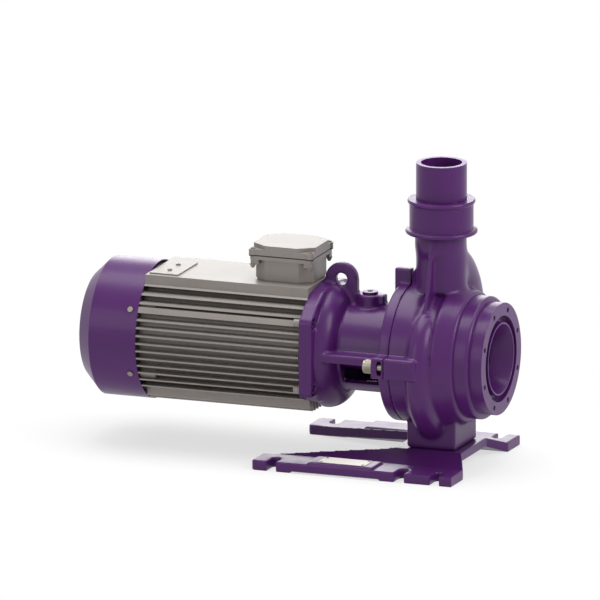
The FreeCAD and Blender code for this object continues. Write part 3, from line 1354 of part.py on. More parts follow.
def terminal_box():
    wide = D.box_half_width
    low_lid = D.box_lid_rise - D.box_lid_thick
    top = low_lid - D.box_gasket
    shell = new_body("box_shell")
    pushed(shell, "XY_Plane", top - D.box_rim, D.box_rim,
           box_outline(at(D.box_rear), at(D.box_front + 1), -wide, wide))
    round_edges(shell, upright_edges(shell, D.box_rim), D.box_round)
    wall = D.box_wall
    pushed(shell, "XY_Plane", D.box_body_low, top - D.box_rim - D.box_body_low + 1, box_body_outline(ZERO))
    foot = D.box_foot_inset
    pushed(shell, "XY_Plane", D.top_block_rise, D.box_body_low - D.top_block_rise + 1, box_body_outline(foot))
    pushed(shell, "XY_Plane", top, top - D.box_body_low - wall, box_body_outline(wall), kind="Pocket")
    pushed(shell, "XY_Plane", D.box_body_low + wall + 1, D.box_body_low + 1 - D.top_block_rise,
           box_body_outline(foot + wall), kind="Pocket")
    wires = rod("box_wire_hole", "z", at(D.wire_back), ZERO, D.top_block_rise - 1, D.wire_radius,
                D.box_wall * 2)
    far_face = wide - D.box_body_narrow
    gland_rise = (top - D.box_rim + D.box_body_low) / 2
    gland_radius = (top - D.box_rim - D.box_body_low) * GLAND_SHARE
    glands = [rod(f"gland_hole_{number}", "y", at(back), far_face - wall - 1, gland_rise,
                  gland_radius + D.fit_gap, wall + 3) for number, back in enumerate((D.gland_back, D.blank_back))]
    threads = [rod(f"lid_thread_{number}", "z", x, y, D.box_body_low - 1, D.lid_screw_radius + D.fit_gap,
                   D.box_lid_rise) for number, (x, y) in enumerate(lid_screw_places())]
    ears = []
    for number, (east, north) in enumerate(((-1, 1), (-1, -1), (1, 1), (1, -1))):
        ends = sorted((box_middle() + east * (box_half_long() - reach) for reach in (D.box_ear_inset, D.box_ear_long)),
                      key=float)
        sides = sorted((north * (wide - reach) for reach in (D.box_ear_inset, D.box_ear_wide)), key=float)
        ears.append(box(f"lid_post_{number}", *ends, *sides, top - D.box_ear, top - 1))
    for number, (x, y) in enumerate(lid_screw_places()):
        tip = doc.addObject("Part::Cone", f"lid_post_tip_{number}")
        bind(tip, "Radius1", D.box_ear_tip)
        bind(tip, "Radius2", D.lid_ear_radius - 1)
        bind(tip, "Height", D.box_ear_slope)
        bind(tip, "Placement.Base.x", x)
        bind(tip, "Placement.Base.y", y)
        bind(tip, "Placement.Base.z", top - D.box_ear - D.box_ear_slope + D.shaft_height)
        ears.append(tip)
    keep(less("terminal_box", united("box_outside", [shell] + ears), [wires] + glands + threads), "terminal_box")

    frame = box("gasket_plate", at(D.box_rear), at(D.box_front + 1), -wide, wide, top, low_lid)
    hollow = box("gasket_window", at(D.box_rear - wall), at(D.box_front + 1 + wall), -wide + wall, wide - wall,
                 top - 1, low_lid + 1)
    pads = [rod(f"gasket_pad_{number}", "z", x, y, top, D.lid_ear_radius, D.box_gasket)
            for number, (x, y) in enumerate(lid_screw_places())]
    gasket = less("gasket_frame", frame, [hollow])
    keep(less("terminal_box_gasket", united("gasket_outside", [gasket] + pads), threads), "terminal_box_gasket")

    lid = new_body("lid_plate")
    pushed(lid, "XY_Plane", low_lid, D.box_lid_thick, box_outline(at(D.box_rear), at(D.box_front + 1), -wide, wide))
    round_edges(lid, upright_edges(lid, D.box_lid_thick), D.box_round)
    ears = [rod(f"lid_ear_{number}", "z", x, y, low_lid, D.lid_ear_radius, D.box_lid_thick)
            for number, (x, y) in enumerate(lid_screw_places())]
    crown = new_body("lid_crown")
    pushed(crown, "XY_Plane", D.box_lid_rise - 1, D.lid_crown + 1,
           eight_sides(box_half_long() - 1, wide, D.crown_corner_long, D.crown_corner_wide))
    keep(less("terminal_box_lid", united("lid_outside", [lid, crown] + ears), threads), "terminal_box_lid")
    screw = socket_screw("lid_screw", D.lid_screw_radius * 1.7, D.lid_screw_radius, D.lid_screw_radius,
                         D.box_lid_thick + D.box_gasket + 16, D.lid_screw_radius)
    copies("lid_screws", screw, [facing(x, y, D.box_lid_rise, "down") for x, y in lid_screw_places()])

    floor = D.top_block_rise + wall
    board = box("terminal_block", at(D.block_rear), at(D.block_front), -D.block_half, D.block_half, floor,
                floor + D.block_thick)
    studs = [rod(f"stud_{column}_{row}", "z", at((D.block_front + D.block_rear) / 2 + column * D.stud_pitch),
                 D.stud_pitch * row, floor + D.block_thick, D.stud_radius, D.stud_length)
             for column in (-1, 0, 1) for row in (-0.5, 0.5)]
    keep(board, "terminal_block")
    keep(group("terminal_studs", studs), "terminal_studs")
    gland = socket_screw("gland_model", gland_radius * 1.45, D.gland_length, gland_radius, wall + 1, None,
                         head_sides=6)
    cap = socket_screw("blank_model", gland_radius * 1.3, D.plug_flange, gland_radius, wall + 1, None)
    turn_in = FreeCAD.Rotation(FreeCAD.Vector(1, 0, 0), 90)
    height = gland_rise + D.shaft_height
    copies("cable_gland", gland, [FreeCAD.Placement(vector(at(D.gland_back), far_face, height), turn_in)])
    copies("blanking_plug", cap, [FreeCAD.Placement(vector(at(D.blank_back), far_face, height), turn_in)])


GLAND_SHARE = 0.22


def box_body_outline(inset):
    """Eight-sided outline of the box body, seen from above, drawn in by an inset."""
    return eight_sides(box_half_long() - D.box_body_inset - inset, D.box_half_width - D.box_body_narrow - inset,
                       D.box_corner_long, D.box_corner_wide)


def box_middle():
    return (at(D.box_rear) + at(D.box_front)) / 2


def box_half_long():
    return (D.box_rear - D.box_front) / 2


def eight_sides(half_long, half_wide, corner_long, corner_wide):
    """A rectangle about the middle of the box with its four corners cut off."""
    corner = [(half_long, half_wide - corner_wide), (half_long - corner_long, half_wide)]
    quarters = ((1, 1, corner), (-1, 1, corner[::-1]), (-1, -1, corner), (1, -1, corner[::-1]))
    return [(box_middle() + x * east, y * north) for east, north, points in quarters for x, y in points]


def upright_edges(body, height):
    """Names of the edges that stand as high as a pad's length."""
    return [f"Edge{number}" for number, edge in enumerate(recomputed(body).Edges, start=1)
            if edge.BoundBox.XLength < 0.01 and edge.BoundBox.YLength < 0.01
            and abs(edge.BoundBox.ZLength - float(height)) < 0.01]


def lid_screw_places():
    inset = D.lid_ear_inset
    xs = (at(D.box_rear - inset), at(D.box_front + 1 + inset))
    return [(x, y) for x in xs for y in (D.box_half_width - inset, -(D.box_half_width - inset))]


def top_cover():
    plate = box("cover_sheet", at(D.top_cover_rear), at(D.top_cover_front), D.top_cover_low, D.top_cover_high,
                D.top_block_rise, D.top_block_rise + D.top_cover_thick)
    middle = (D.top_cover_low + D.top_cover_high) / 2
    spots = [(at(D.top_screw_back), middle + D.top_screw_half * side) for side in (-1, 1)]
    holes = [rod(f"cover_hole_{number}", "z", x, y, D.top_block_rise - 1, D.top_screw_radius + D.fit_gap,
                 D.top_cover_thick + 2) for number, (x, y) in enumerate(spots)]
    keep(less("top_cover_plate", plate, holes), "top_cover_plate")
    screw = socket_screw("top_screw", D.top_screw_radius * 1.8, D.top_screw_radius, D.top_screw_radius,
                         D.top_cover_thick, D.top_screw_radius * 0.9)
    copies("top_cover_screws", screw, [facing(x, y, D.top_block_rise + D.top_cover_thick, "down") for x, y in spots])


def base_frame():
    base = new_body("base_casting", on_shaft=False)
    half = [(D.foot_out, ZERO), (D.foot_out, D.foot_thick), (D.foot_in, D.foot_thick), (D.deck_out, D.deck_top)]
    under = [(D.deck_out, D.deck_top - D.deck_thick), (D.foot_in, ZERO)]
    mirrored = [(-y, z) for y, z in half]
    pushed(base, "YZ_Plane", at(D.foot_rear), D.foot_rear - D.foot_front,
           half + mirrored[::-1] + [(-y, z) for y, z in under[::-1]] + under)
    deep = D.deck_top + 2
    behind, ahead = at(D.foot_rear + 10), at(D.foot_front - 10)
    pushed(base, "XY_Plane", deep, deep + 2, [
        (behind, -D.foot_in), (at(D.slope_rear), -D.foot_in), (at(D.deck_rear), -D.deck_out),
        (at(D.deck_rear), D.deck_out), (at(D.slope_rear), D.foot_in), (behind, D.foot_in)], kind="Pocket")
    pushed(base, "XY_Plane", deep, deep + 2, [
        (ahead, -D.foot_in), (at(D.foot_front), -D.foot_in), (at(D.deck_front), -D.deck_out),
        (at(D.deck_front), D.deck_out), (at(D.foot_front), D.foot_in), (ahead, D.foot_in)], kind="Pocket")
    for side in (-1, 1):
        for back in (D.slot_first, D.slot_second, D.slot_third):
            pushed(base, "XY_Plane", D.foot_thick + 2, D.foot_thick + 4,
                   slot_outline(at(back + D.slot_width / 2), at(back - D.slot_width / 2),
                                (D.foot_out - D.slot_depth) * side, (D.foot_out + 5) * side), kind="Pocket")
        inner, outer = (D.foot_in + 6) * side, (D.foot_out - 3) * side
        pushed(base, "XY_Plane", D.foot_thick, D.pad_rise,
               box_outline(at(D.pad_rear), at(D.pad_front), inner, outer))
        pushed(base, "XY_Plane", D.relief_rise, D.relief_rise + 1,
               box_outline(at(D.relief_rear), at(D.relief_front), (D.foot_in - 12) * side, (D.foot_out + 1) * side),
               kind="Pocket")
    edges = [f"Edge{number}" for number, edge in enumerate(recomputed(base).Edges, start=1)
             if edge.BoundBox.XLength < 0.01 and edge.BoundBox.YLength < 0.01
             and abs(edge.BoundBox.XMin - float(at(D.foot_rear))) < 0.01]
    round_edges(base, edges, D.foot_round)
    holes = [rod(f"deck_hole_{number}", "z", at(back), out, D.deck_top - D.deck_thick - 1,
                 D.pedestal_bolt_radius + 0.5, D.deck_thick + 2, on_shaft=False)
             for number, (back, out) in enumerate(pedestal_places())]
    rivet_low = D.foot_thick + D.pad_rise - D.rivet_length - 1
    pins = [rod(f"rivet_hole_{number}", "z", x, y, rivet_low, D.rivet_radius + D.fit_gap, D.rivet_length + 2,
                on_shaft=False) for number, (x, y) in enumerate(rivet_places())]
    keep(less("base_frame", base, holes + pins), "base_frame")

    low = D.foot_thick + D.pad_rise
    plate = box("plate_sheet", at(D.plate_rear), at(D.plate_front), -D.plate_out, -D.plate_in, low,
                low + D.plate_thick, on_shaft=False)
    clear = [rod(f"plate_hole_{number}", "z", x, y, low - 1, D.rivet_radius + D.fit_gap, D.plate_thick + 2,
                 on_shaft=False) for number, (x, y) in enumerate(rivet_places())]
    keep(less("foot_plate", plate, clear), "foot_plate")
    rivet = socket_screw("rivet", D.rivet_radius * 1.8, D.rivet_radius * 0.5, D.rivet_radius, D.rivet_length, None)
    copies("foot_plate_rivets", rivet, [facing(x, y, low + D.plate_thick, "down", on_shaft=False)
                                        for x, y in rivet_places()])


def rivet_places():
    inset = D.rivet_radius * 3
    xs = (at(D.plate_rear - inset), at(D.plate_front + inset))
    return [(x, -y) for x in xs for y in (D.plate_out - inset, D.plate_in + inset)]


def build():
    volute_casing()
    suction_cover()
    suction_rings()
    discharge_parts()
    bearing_bracket()
    bracket_fasteners()
    oil_plug()
    drain_plug()
    shaft_line()
    impeller()
    shaft_seal()
    ball_bearing("front_bearing", D.front_bearing_back, D.front_bearing_width, D.front_bearing_bore,
                 D.front_bearing_radius, D.front_ball_radius, 8)
    ball_bearing("rear_bearing", D.rear_bearing_back, D.rear_bearing_width, D.rear_bearing_bore,
                 D.rear_bearing_radius, D.rear_ball_radius, 9)
    motor_core()
    motor_housing()
    rear_end_shield()
    fan_cowl()
    cooling_fan()
    terminal_box()
    top_cover()
    base_frame()


def check_and_export():
    doc.recompute()
    faults = [f"{item.Name}: {item.State}" for item in doc.Objects
              if "Invalid" in item.State or "Error" in item.State]
    for label, item in nodes.items():
        if item.Shape.isNull() or not item.Shape.isValid():
            faults.append(f"{label}: shape is not valid")
    if faults:
        raise RuntimeError("; ".join(faults))
    for label, item in nodes.items():
        item.Shape.exportStep(f"parts/{label}.step")
        print(label, len(item.Shape.Solids), round(item.Shape.Volume / 1000, 1), "cm3")


build()
check_and_export()
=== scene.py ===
import json
import math

import bmesh
import bpy
from mathutils import Matrix, Vector


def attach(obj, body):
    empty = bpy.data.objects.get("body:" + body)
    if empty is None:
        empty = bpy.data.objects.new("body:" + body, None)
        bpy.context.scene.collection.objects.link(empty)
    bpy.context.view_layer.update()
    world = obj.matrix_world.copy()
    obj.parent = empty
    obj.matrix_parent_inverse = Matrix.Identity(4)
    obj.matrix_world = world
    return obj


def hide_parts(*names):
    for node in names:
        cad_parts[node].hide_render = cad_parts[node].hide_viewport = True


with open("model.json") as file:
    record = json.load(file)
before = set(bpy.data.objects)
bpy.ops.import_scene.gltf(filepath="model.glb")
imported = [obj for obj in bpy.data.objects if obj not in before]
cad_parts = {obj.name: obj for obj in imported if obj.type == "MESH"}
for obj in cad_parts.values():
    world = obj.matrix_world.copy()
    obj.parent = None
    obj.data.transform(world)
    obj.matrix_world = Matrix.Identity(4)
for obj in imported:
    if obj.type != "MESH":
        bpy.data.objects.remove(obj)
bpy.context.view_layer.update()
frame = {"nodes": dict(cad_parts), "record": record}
mounts = {mount["name"]: mount for mount in frame["record"]["mounts"]}
MM = 0.001


# Materials

ENAMEL_DEEP = "#49195C"
ENAMEL_LIGHT = "#502063"
# A wave texture of scale 1 draws a line about every 0.32 m
WAVE_STEP = 0.32


def linear(hex_colour):
    """The linear colour that an sRGB hex value stands for."""
    shares = [int(hex_colour[place:place + 2], 16) / 255 for place in (1, 3, 5)]
    return [share / 12.92 if share <= 0.04045 else ((share + 0.055) / 1.055) ** 2.4 for share in shares] + [1.0]


def add(tree, kind, links=None, **settings):
    """Adds a node. Each entry of links is an input's name or number with its value or the output it comes from."""
    node = tree.nodes.new(kind)
    for name, value in settings.items():
        setattr(node, name, value)
    for name, value in (links or {}).items():
        if isinstance(value, bpy.types.NodeSocket):
            tree.links.new(value, node.inputs[name])
        else:
            node.inputs[name].default_value = value
    return node


def started(name):
    """An empty material with its output node, and the place on the object that its patterns read."""
    material = bpy.data.materials.new(name)
    material.use_nodes = True
    tree = material.node_tree
    tree.nodes.clear()
    place = add(tree, "ShaderNodeTexCoord").outputs["Object"]
    return material, tree, place


def blended(tree, share, low, high):
    """The colour between two hex colours that a pattern picks."""
    mix = add(tree, "ShaderNodeMix", {0: share, 6: linear(low), 7: linear(high)}, data_type="RGBA")
    return mix.outputs[2]


def ranged(tree, share, low, high):
    """A pattern's value stretched to a range."""
    return add(tree, "ShaderNodeMapRange", {"Value": share, "To Min": low, "To Max": high}).outputs["Result"]


def enamel():
    """Sprayed gloss enamel on sand-cast iron: the film pulls into a fine orange peel over the casting's waves."""
    material, tree, place = started("gloss_enamel_on_cast_iron")
    peel = add(tree, "ShaderNodeTexNoise", {"Vector": place, "Scale": 1 / (3.5 * MM), "Detail": 1.0})
    waves = add(tree, "ShaderNodeTexNoise", {"Vector": place, "Scale": 1 / (38 * MM), "Detail": 3.0})
    cloud = add(tree, "ShaderNodeTexNoise", {"Vector": place, "Scale": 1 / (120 * MM), "Detail": 2.0})
    sag = add(tree, "ShaderNodeBump", {"Height": waves.outputs[0], "Strength": 0.35, "Distance": 0.9 * MM})
    skin = add(tree, "ShaderNodeBump", {"Height": peel.outputs[0], "Strength": 0.16, "Distance": 0.2 * MM,
                                        "Normal": sag.outputs[0]})
    gloss = add(tree, "ShaderNodeBsdfPrincipled", {
        "Base Color": blended(tree, cloud.outputs[0], ENAMEL_DEEP, ENAMEL_LIGHT),
        "Roughness": ranged(tree, waves.outputs[0], 0.26, 0.38), "Normal": skin.outputs[0],
        "Specular IOR Level": 0.26, "Coat Weight": 0.06, "Coat Roughness": 0.12, "IOR": 1.5})
    add(tree, "ShaderNodeOutputMaterial", {"Surface": gloss.outputs[0]})
    return material


def grey_paint():
    """Satin paint on cast aluminium: a fine sandy skin that scatters the light."""
    material, tree, place = started("satin_paint_on_cast_aluminium")
    sand = add(tree, "ShaderNodeTexNoise", {"Vector": place, "Scale": 1 / (1.6 * MM), "Detail": 2.0})
    cloud = add(tree, "ShaderNodeTexNoise", {"Vector": place, "Scale": 1 / (70 * MM), "Detail": 3.0})
    skin = add(tree, "ShaderNodeBump", {"Height": sand.outputs[0], "Strength": 0.3, "Distance": 0.12 * MM})
    paint = add(tree, "ShaderNodeBsdfPrincipled", {
        "Base Color": blended(tree, cloud.outputs[0], "#857E79", "#928B86"),
        "Roughness": ranged(tree, sand.outputs[0], 0.38, 0.52), "Normal": skin.outputs[0],
        "Coat Weight": 0.15, "Coat Roughness": 0.3, "IOR": 1.5})
    add(tree, "ShaderNodeOutputMaterial", {"Surface": paint.outputs[0]})
    return material


def cream_enamel():
    """Stove enamel on sheet steel: nearly smooth, a little yellow, with faint pits."""
    material, tree, place = started("cream_enamel_on_sheet_steel")
    pits = add(tree, "ShaderNodeTexVoronoi", {"Vector": place, "Scale": 1 / (4 * MM)})
    cloud = add(tree, "ShaderNodeTexNoise", {"Vector": place, "Scale": 1 / (40 * MM), "Detail": 2.0})
    skin = add(tree, "ShaderNodeBump", {"Height": pits.outputs["Distance"], "Strength": 0.08, "Distance": 0.1 * MM})
    film = add(tree, "ShaderNodeBsdfPrincipled", {
        "Base Color": blended(tree, cloud.outputs[0], "#D2CCBE", "#DDD8CC"),
        "Roughness": ranged(tree, cloud.outputs[0], 0.3, 0.42), "Normal": skin.outputs[0], "IOR": 1.5})
    add(tree, "ShaderNodeOutputMaterial", {"Surface": film.outputs[0]})
    return material


def metal(name, low, high, roughness, grain_mm, lines=None):
    """A bare metal. The grain is a noise, or lines that a lathe, a press or a stack of sheets leaves along an axis."""
    material, tree, place = started(name)
    if lines:
        grain = add(tree, "ShaderNodeTexWave", {"Vector": place, "Scale": WAVE_STEP / (grain_mm * MM),
                                                "Distortion": 1.2, "Detail": 1.0}, bands_direction=lines)
    else:
        grain = add(tree, "ShaderNodeTexNoise", {"Vector": place, "Scale": 1 / (grain_mm * MM), "Detail": 3.0})
    cloud = add(tree, "ShaderNodeTexNoise", {"Vector": place, "Scale": 1 / (16 * MM), "Detail": 2.0})
    skin = add(tree, "ShaderNodeBump", {"Height": grain.outputs[0], "Strength": 0.25, "Distance": 0.08 * MM})
    shine = add(tree, "ShaderNodeBsdfPrincipled", {
        "Base Color": blended(tree, cloud.outputs[0], low, high), "Metallic": 1.0,
        "Roughness": ranged(tree, cloud.outputs[0], roughness * 0.85, roughness * 1.2), "Normal": skin.outputs[0]})
    add(tree, "ShaderNodeOutputMaterial", {"Surface": shine.outputs[0]})
    return material


def dull(name, low, high, roughness, grain_mm, ior):
    """A moulded, pressed or lapped stuff that isn't metal, with a fine grain of its own."""
    material, tree, place = started(name)
    grain = add(tree, "ShaderNodeTexNoise", {"Vector": place, "Scale": 1 / (grain_mm * MM), "Detail": 2.0})
    cloud = add(tree, "ShaderNodeTexNoise", {"Vector": place, "Scale": 1 / (22 * MM), "Detail": 2.0})
    skin = add(tree, "ShaderNodeBump", {"Height": grain.outputs[0], "Strength": 0.2, "Distance": 0.08 * MM})
    body = add(tree, "ShaderNodeBsdfPrincipled", {
        "Base Color": blended(tree, cloud.outputs[0], low, high), "IOR": ior,
        "Roughness": ranged(tree, grain.outputs[0], roughness * 0.9, roughness * 1.1), "Normal": skin.outputs[0]})
    add(tree, "ShaderNodeOutputMaterial", {"Surface": body.outputs[0]})
    return material


gloss_enamel = enamel()
finishes = {
    "purple_enamel": gloss_enamel,
    "enamelled_screw": gloss_enamel,
    "grey_paint": grey_paint(),
    "cream_plate": cream_enamel(),
    # Grey iron cut on a lathe: dark, with open rings
    "grey_iron": metal("turned_grey_iron", "#5C5C5E", "#6A6A6B", 0.42, 1.2, "X"),
    # Zinc plate: pale, faintly yellow, softly brushed
    "zinc_steel": metal("zinc_plated_steel", "#857F75", "#969086", 0.4, 0.9),
    # Ground shaft steel: close rings round the axis
    "machined_steel": metal("ground_shaft_steel", "#A6A6A6", "#B8B8B7", 0.22, 0.5, "X"),
    # Polished bearing steel: nearly a mirror
    "bearing_steel": metal("polished_bearing_steel", "#B9BBBF", "#CACCCF", 0.12, 0.4),
    # Pressed brass sheet
    "brass_cage": metal("pressed_brass", "#B08D4A", "#BF9C58", 0.3, 0.8),
    # Brass turned from bar
    "brass_stud": metal("turned_brass", "#B59653", "#C5A763", 0.26, 0.6, "Z"),
    # Cast bronze: brown, with a sandy skin
    "bronze": metal("cast_bronze", "#86643D", "#98744A", 0.4, 1.6),
    # Soft annealed copper, browned by its skin of oxide
    "copper_washer": metal("browned_copper", "#4A2E2A", "#5C3A32", 0.45, 0.7),
    # Varnished winding wire: coils that show as bands
    "copper_winding": metal("varnished_winding_wire", "#7E4420", "#95552B", 0.38, 1.4, "X"),
    # Stacked core sheet: fine edges side by side
    "core_sheet": metal("stacked_core_sheet", "#5E5F62", "#6E6F72", 0.38, 0.9, "X"),
    # Die-cast aluminium
    "cast_aluminium": metal("die_cast_aluminium", "#B3B4B6", "#C4C4C6", 0.36, 1.2),
    # Lapped seal faces, and moulded rubber and plastics
    "ceramic": dull("lapped_ceramic", "#DCD6C6", "#E4DFD2", 0.3, 0.8, 1.7),
    "carbon": dull("lapped_carbon", "#1A1A1C", "#222224", 0.38, 0.6, 1.6),
    "black_rubber": dull("moulded_black_rubber", "#242323", "#2E2C2C", 0.62, 0.9, 1.52),
    "terminal_plastic": dull("moulded_terminal_block", "#948769", "#A19576", 0.45, 1.0, 1.5),
    "gland_plastic": dull("moulded_dark_nylon", "#2A2A2C", "#333335", 0.42, 1.0, 1.53),
    "fan_plastic": dull("moulded_fan_nylon", "#262628", "#303032", 0.45, 1.1, 1.53),
}
slot_of = {part["node"]: part["material_slot"] for part in frame["record"]["subparts"]}
body_of = {node: body for body, held in frame["record"]["behaviour"]["bodies"].items() for node in held}
for node, item in frame["nodes"].items():
    for surface in item.material_slots:
        surface.material = finishes[slot_of[node]]


# Making pieces

SAME_POINT = 0.01 * MM
ON_JOINT = 0.1 * MM
FLAT = math.radians(0.4)
# Edges that turn by more than CORNER are broken, and light breaks at those that turn by more than CREASE
CORNER = math.radians(32)
CREASE = math.radians(38)
# Nodes with slots or vanes, and the most corners that one of their flat faces may keep
PIERCED = ("fan_cowl", "impeller")
MOST_CORNERS = 60
# A casting is crisp to this far from a machined face, and fully rounded this much further off
CRISP_MM = 3
BLEND_MM = 8


def merged(node, joints_mm=()):
    """A copy of a node's mesh with its doubled points joined and its flat faces whole.

    Corners are marked for breaking, except on the machined faces at the joints along X. The faces of a pierced node
    that have very many corners are cut into triangles, which stay whole when the edges are broken.
    """
    work = bmesh.new()
    work.from_mesh(frame["nodes"][node].data)
    bmesh.ops.remove_doubles(work, verts=work.verts, dist=SAME_POINT)
    bmesh.ops.dissolve_limit(work, angle_limit=FLAT, verts=work.verts, edges=work.edges)
    if node in PIERCED:
        pierced_faces = [face for face in work.faces if len(face.verts) > MOST_CORNERS]
        bmesh.ops.triangulate(work, faces=pierced_faces)
    mark = work.edges.layers.float.new("bevel_weight_edge")
    for edge in work.edges:
        machined = any(all(abs(corner.co.x - joint * MM) < ON_JOINT for corner in edge.verts) for joint in joints_mm)
        if edge.is_manifold and edge.calc_face_angle() > CORNER and not machined:
            edge[mark] = 1.0
    mesh = bpy.data.meshes.new(node + "_mesh")
    work.to_mesh(mesh)
    work.free()
    return mesh


def placed(name, mesh):
    """A new object with its origin at the frame's."""
    piece = bpy.data.objects.new(name, mesh)
    bpy.context.scene.collection.objects.link(piece)
    return piece


def settled(piece):
    """Makes what the modifiers give into the piece's own plain mesh."""
    graph = bpy.context.evaluated_depsgraph_get()
    mesh = bpy.data.meshes.new_from_object(piece.evaluated_get(graph), preserve_all_data_layers=True,
                                           depsgraph=graph)
    piece.modifiers.clear()
    piece.data = mesh
    return piece


def finished(piece, node):
    """Gives a piece the finish and the body of the node that it stands for."""
    piece.data.materials.clear()
    piece.data.materials.append(finishes[slot_of[node]])
    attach(piece, body_of[node])
    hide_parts(node)


def dressed(node, edge_mm, joints_mm=()):
    """Stands for a machined, moulded or pressed node: round curves, and edges broken by a small radius."""
    piece = placed(node + "_piece", merged(node, joints_mm))
    bevel = piece.modifiers.new("broken_edges", "BEVEL")
    bevel.width = edge_mm * MM
    bevel.segments = 2
    bevel.limit_method = "WEIGHT"
    bevel.use_clamp_overlap = True
    bevel.miter_outer = "MITER_ARC"
    settled(piece)
    piece.data.shade_smooth()
    piece.data.set_sharp_from_angle(angle=CREASE)
    even = piece.modifiers.new("even_light", "WEIGHTED_NORMAL")
    even.keep_sharp = True
    settled(piece)
    finished(piece, node)


def rounded(piece, name, rounds, share):
    """Rounds a piece over and over, as far as the share that a function gives for each point."""
    group = piece.vertex_groups.new(name=name)
    for vertex in piece.data.vertices:
        group.add([vertex.index], min(1.0, max(0.0, share(vertex.co))), "REPLACE")
    radius = piece.modifiers.new(name, "SMOOTH")
    radius.factor = 0.5
    radius.iterations = rounds
    radius.vertex_group = name
    settled(piece)


def off_joints(point, joints_mm):
    """The share of a point's rounding: none at the machined faces at the joints along X, and all of it beyond."""
    return min([1.0] + [(abs(point.x / MM - joint) - CRISP_MM) / BLEND_MM for joint in joints_mm])


def softened(node, voxel_mm, rounds, joints_mm=()):
    """Stands for a sand casting: rounded as a mould leaves it, but crisp where a face at a joint is machined."""
    piece = placed(node + "_casting", merged(node))
    skin = piece.modifiers.new("skin", "REMESH")
    skin.mode = "VOXEL"
    skin.voxel_size = voxel_mm * MM
    settled(piece)
    rounded(piece, "mould_radius", rounds, lambda point: off_joints(point, joints_mm))
    return piece


def cleaned(piece, node):
    """Clears a casting's helpers away and gives it its finish."""
    piece.vertex_groups.clear()
    piece.data.shade_smooth()
    piece.data.set_sharp_from_angle(angle=CREASE)
    finished(piece, node)


# The neck's place along X, and the heights between which the spiral runs into it, in mm. A blend is the distance over
# which the rounding sets in.
NECK_PLACE = mounts["discharge_spigot"]["pos_m"][0] / MM
NECK_LOW, LOW_BLEND = 400, 20
NECK_HIGH, HIGH_BLEND = 522, 12
RIB_HALF, RIB_BLEND = 8, 6


def neck_share(point):
    """The share of a point's rounding where the spiral runs into the neck, clear of the rib on the near side."""
    beside_rib = (abs(point.x / MM - NECK_PLACE) - RIB_HALF) / RIB_BLEND if point.y < 0 else 1.0
    return min(beside_rib, (point.z / MM - NECK_LOW) / LOW_BLEND, (NECK_HIGH - point.z / MM) / HIGH_BLEND)


# Places of the machined faces along X, in mm
CASING_JOINT = 270.0
COVER_JOINT = 419.5
MOTOR_JOINT = 54.5

casing = softened("volute_casing", voxel_mm=3.2, rounds=8, joints_mm=(CASING_JOINT, COVER_JOINT))
rounded(casing, "neck_flow", rounds=80, share=neck_share)
cleaned(casing, "volute_casing")
bracket = softened("bearing_bracket", voxel_mm=2.8, rounds=7, joints_mm=(CASING_JOINT, MOTOR_JOINT))
cleaned(bracket, "bearing_bracket")
cleaned(softened("base_frame", voxel_mm=2.6, rounds=4), "base_frame")

# How wide each node's edges are broken, in mm. Slots and vanes leave less room on fan_cowl and impeller.
broken_edges = {
    "suction_cover": 1.6, "suction_inlet_ring": 1.2, "discharge_collar": 1.5, "discharge_pipe": 1.5,
    "fan_cowl": 0.9, "motor_housing": 0.7, "terminal_box": 1.6, "terminal_box_lid": 1.6,
    "terminal_box_gasket": 0.5, "top_cover_plate": 0.8, "foot_plate": 0.3, "foot_plate_rivets": 0.3,
    "casing_clamp_bolts": 1.2, "motor_flange_screws": 0.6, "oil_plug": 0.7, "oil_plug_washer": 0.3,
    "cowl_screws": 0.7, "lid_screws": 0.4, "top_cover_screws": 0.3, "cable_gland": 0.7, "blanking_plug": 0.6,
    "drain_plug": 0.7, "pedestal_bolts": 0.6, "impeller": 0.7, "wear_ring": 0.5, "cooling_fan": 0.6,
    "rear_end_shield": 0.8, "end_shield_screws": 0.4,
}
for node, edge_mm in broken_edges.items():
    dressed(node, edge_mm, (COVER_JOINT,))


# Pieces that repeat

def grown(name, inputs, grow):
    """Grows a piece with Geometry Nodes.

    Each of the inputs is a name, a kind of socket and a value. The function grow adds the nodes that use them.
    """
    tree = bpy.data.node_groups.new(name, "GeometryNodeTree")
    sockets = {}
    for label, kind, value in inputs:
        sockets[label] = tree.interface.new_socket(label, in_out="INPUT", socket_type=kind)
    tree.interface.new_socket("Geometry", in_out="OUTPUT", socket_type="NodeSocketGeometry")
    given = add(tree, "NodeGroupInput").outputs
    shape = grow(tree, given)
    real = add(tree, "GeometryNodeRealizeInstances", {"Geometry": shape})
    coated = add(tree, "GeometryNodeSetMaterial", {"Geometry": real.outputs[0], "Material": given["Finish"]})
    add(tree, "NodeGroupOutput", {0: coated.outputs[0]})
    piece = placed(name, bpy.data.meshes.new(name + "_start"))
    growth = piece.modifiers.new(name, "NODES")
    growth.node_group = tree
    for label, kind, value in inputs:
        growth[sockets[label].identifier] = value
    return settled(piece)


def thread_ridges(tree, given):
    """One thread ridge, wound down a hole, at each hole of a circle."""
    line = add(tree, "GeometryNodeCurveSpiral", {
        "Resolution": 24, "Rotations": given["Turns"], "Start Radius": given["Hole radius"],
        "End Radius": given["Hole radius"], "Height": given["Depth"]})
    edge = add(tree, "GeometryNodeCurvePrimitiveCircle", {"Resolution": 3, "Radius": given["Ridge"]})
    ridge = add(tree, "GeometryNodeCurveToMesh", {"Curve": line.outputs[0], "Profile Curve": edge.outputs[0],
                                                  "Fill Caps": True})
    circle = add(tree, "GeometryNodeMeshCircle", {"Vertices": given["Holes"], "Radius": given["Hole circle"]})
    return add(tree, "GeometryNodeInstanceOnPoints", {"Points": circle.outputs[0],
                                                      "Instance": ridge.outputs[0]}).outputs[0]


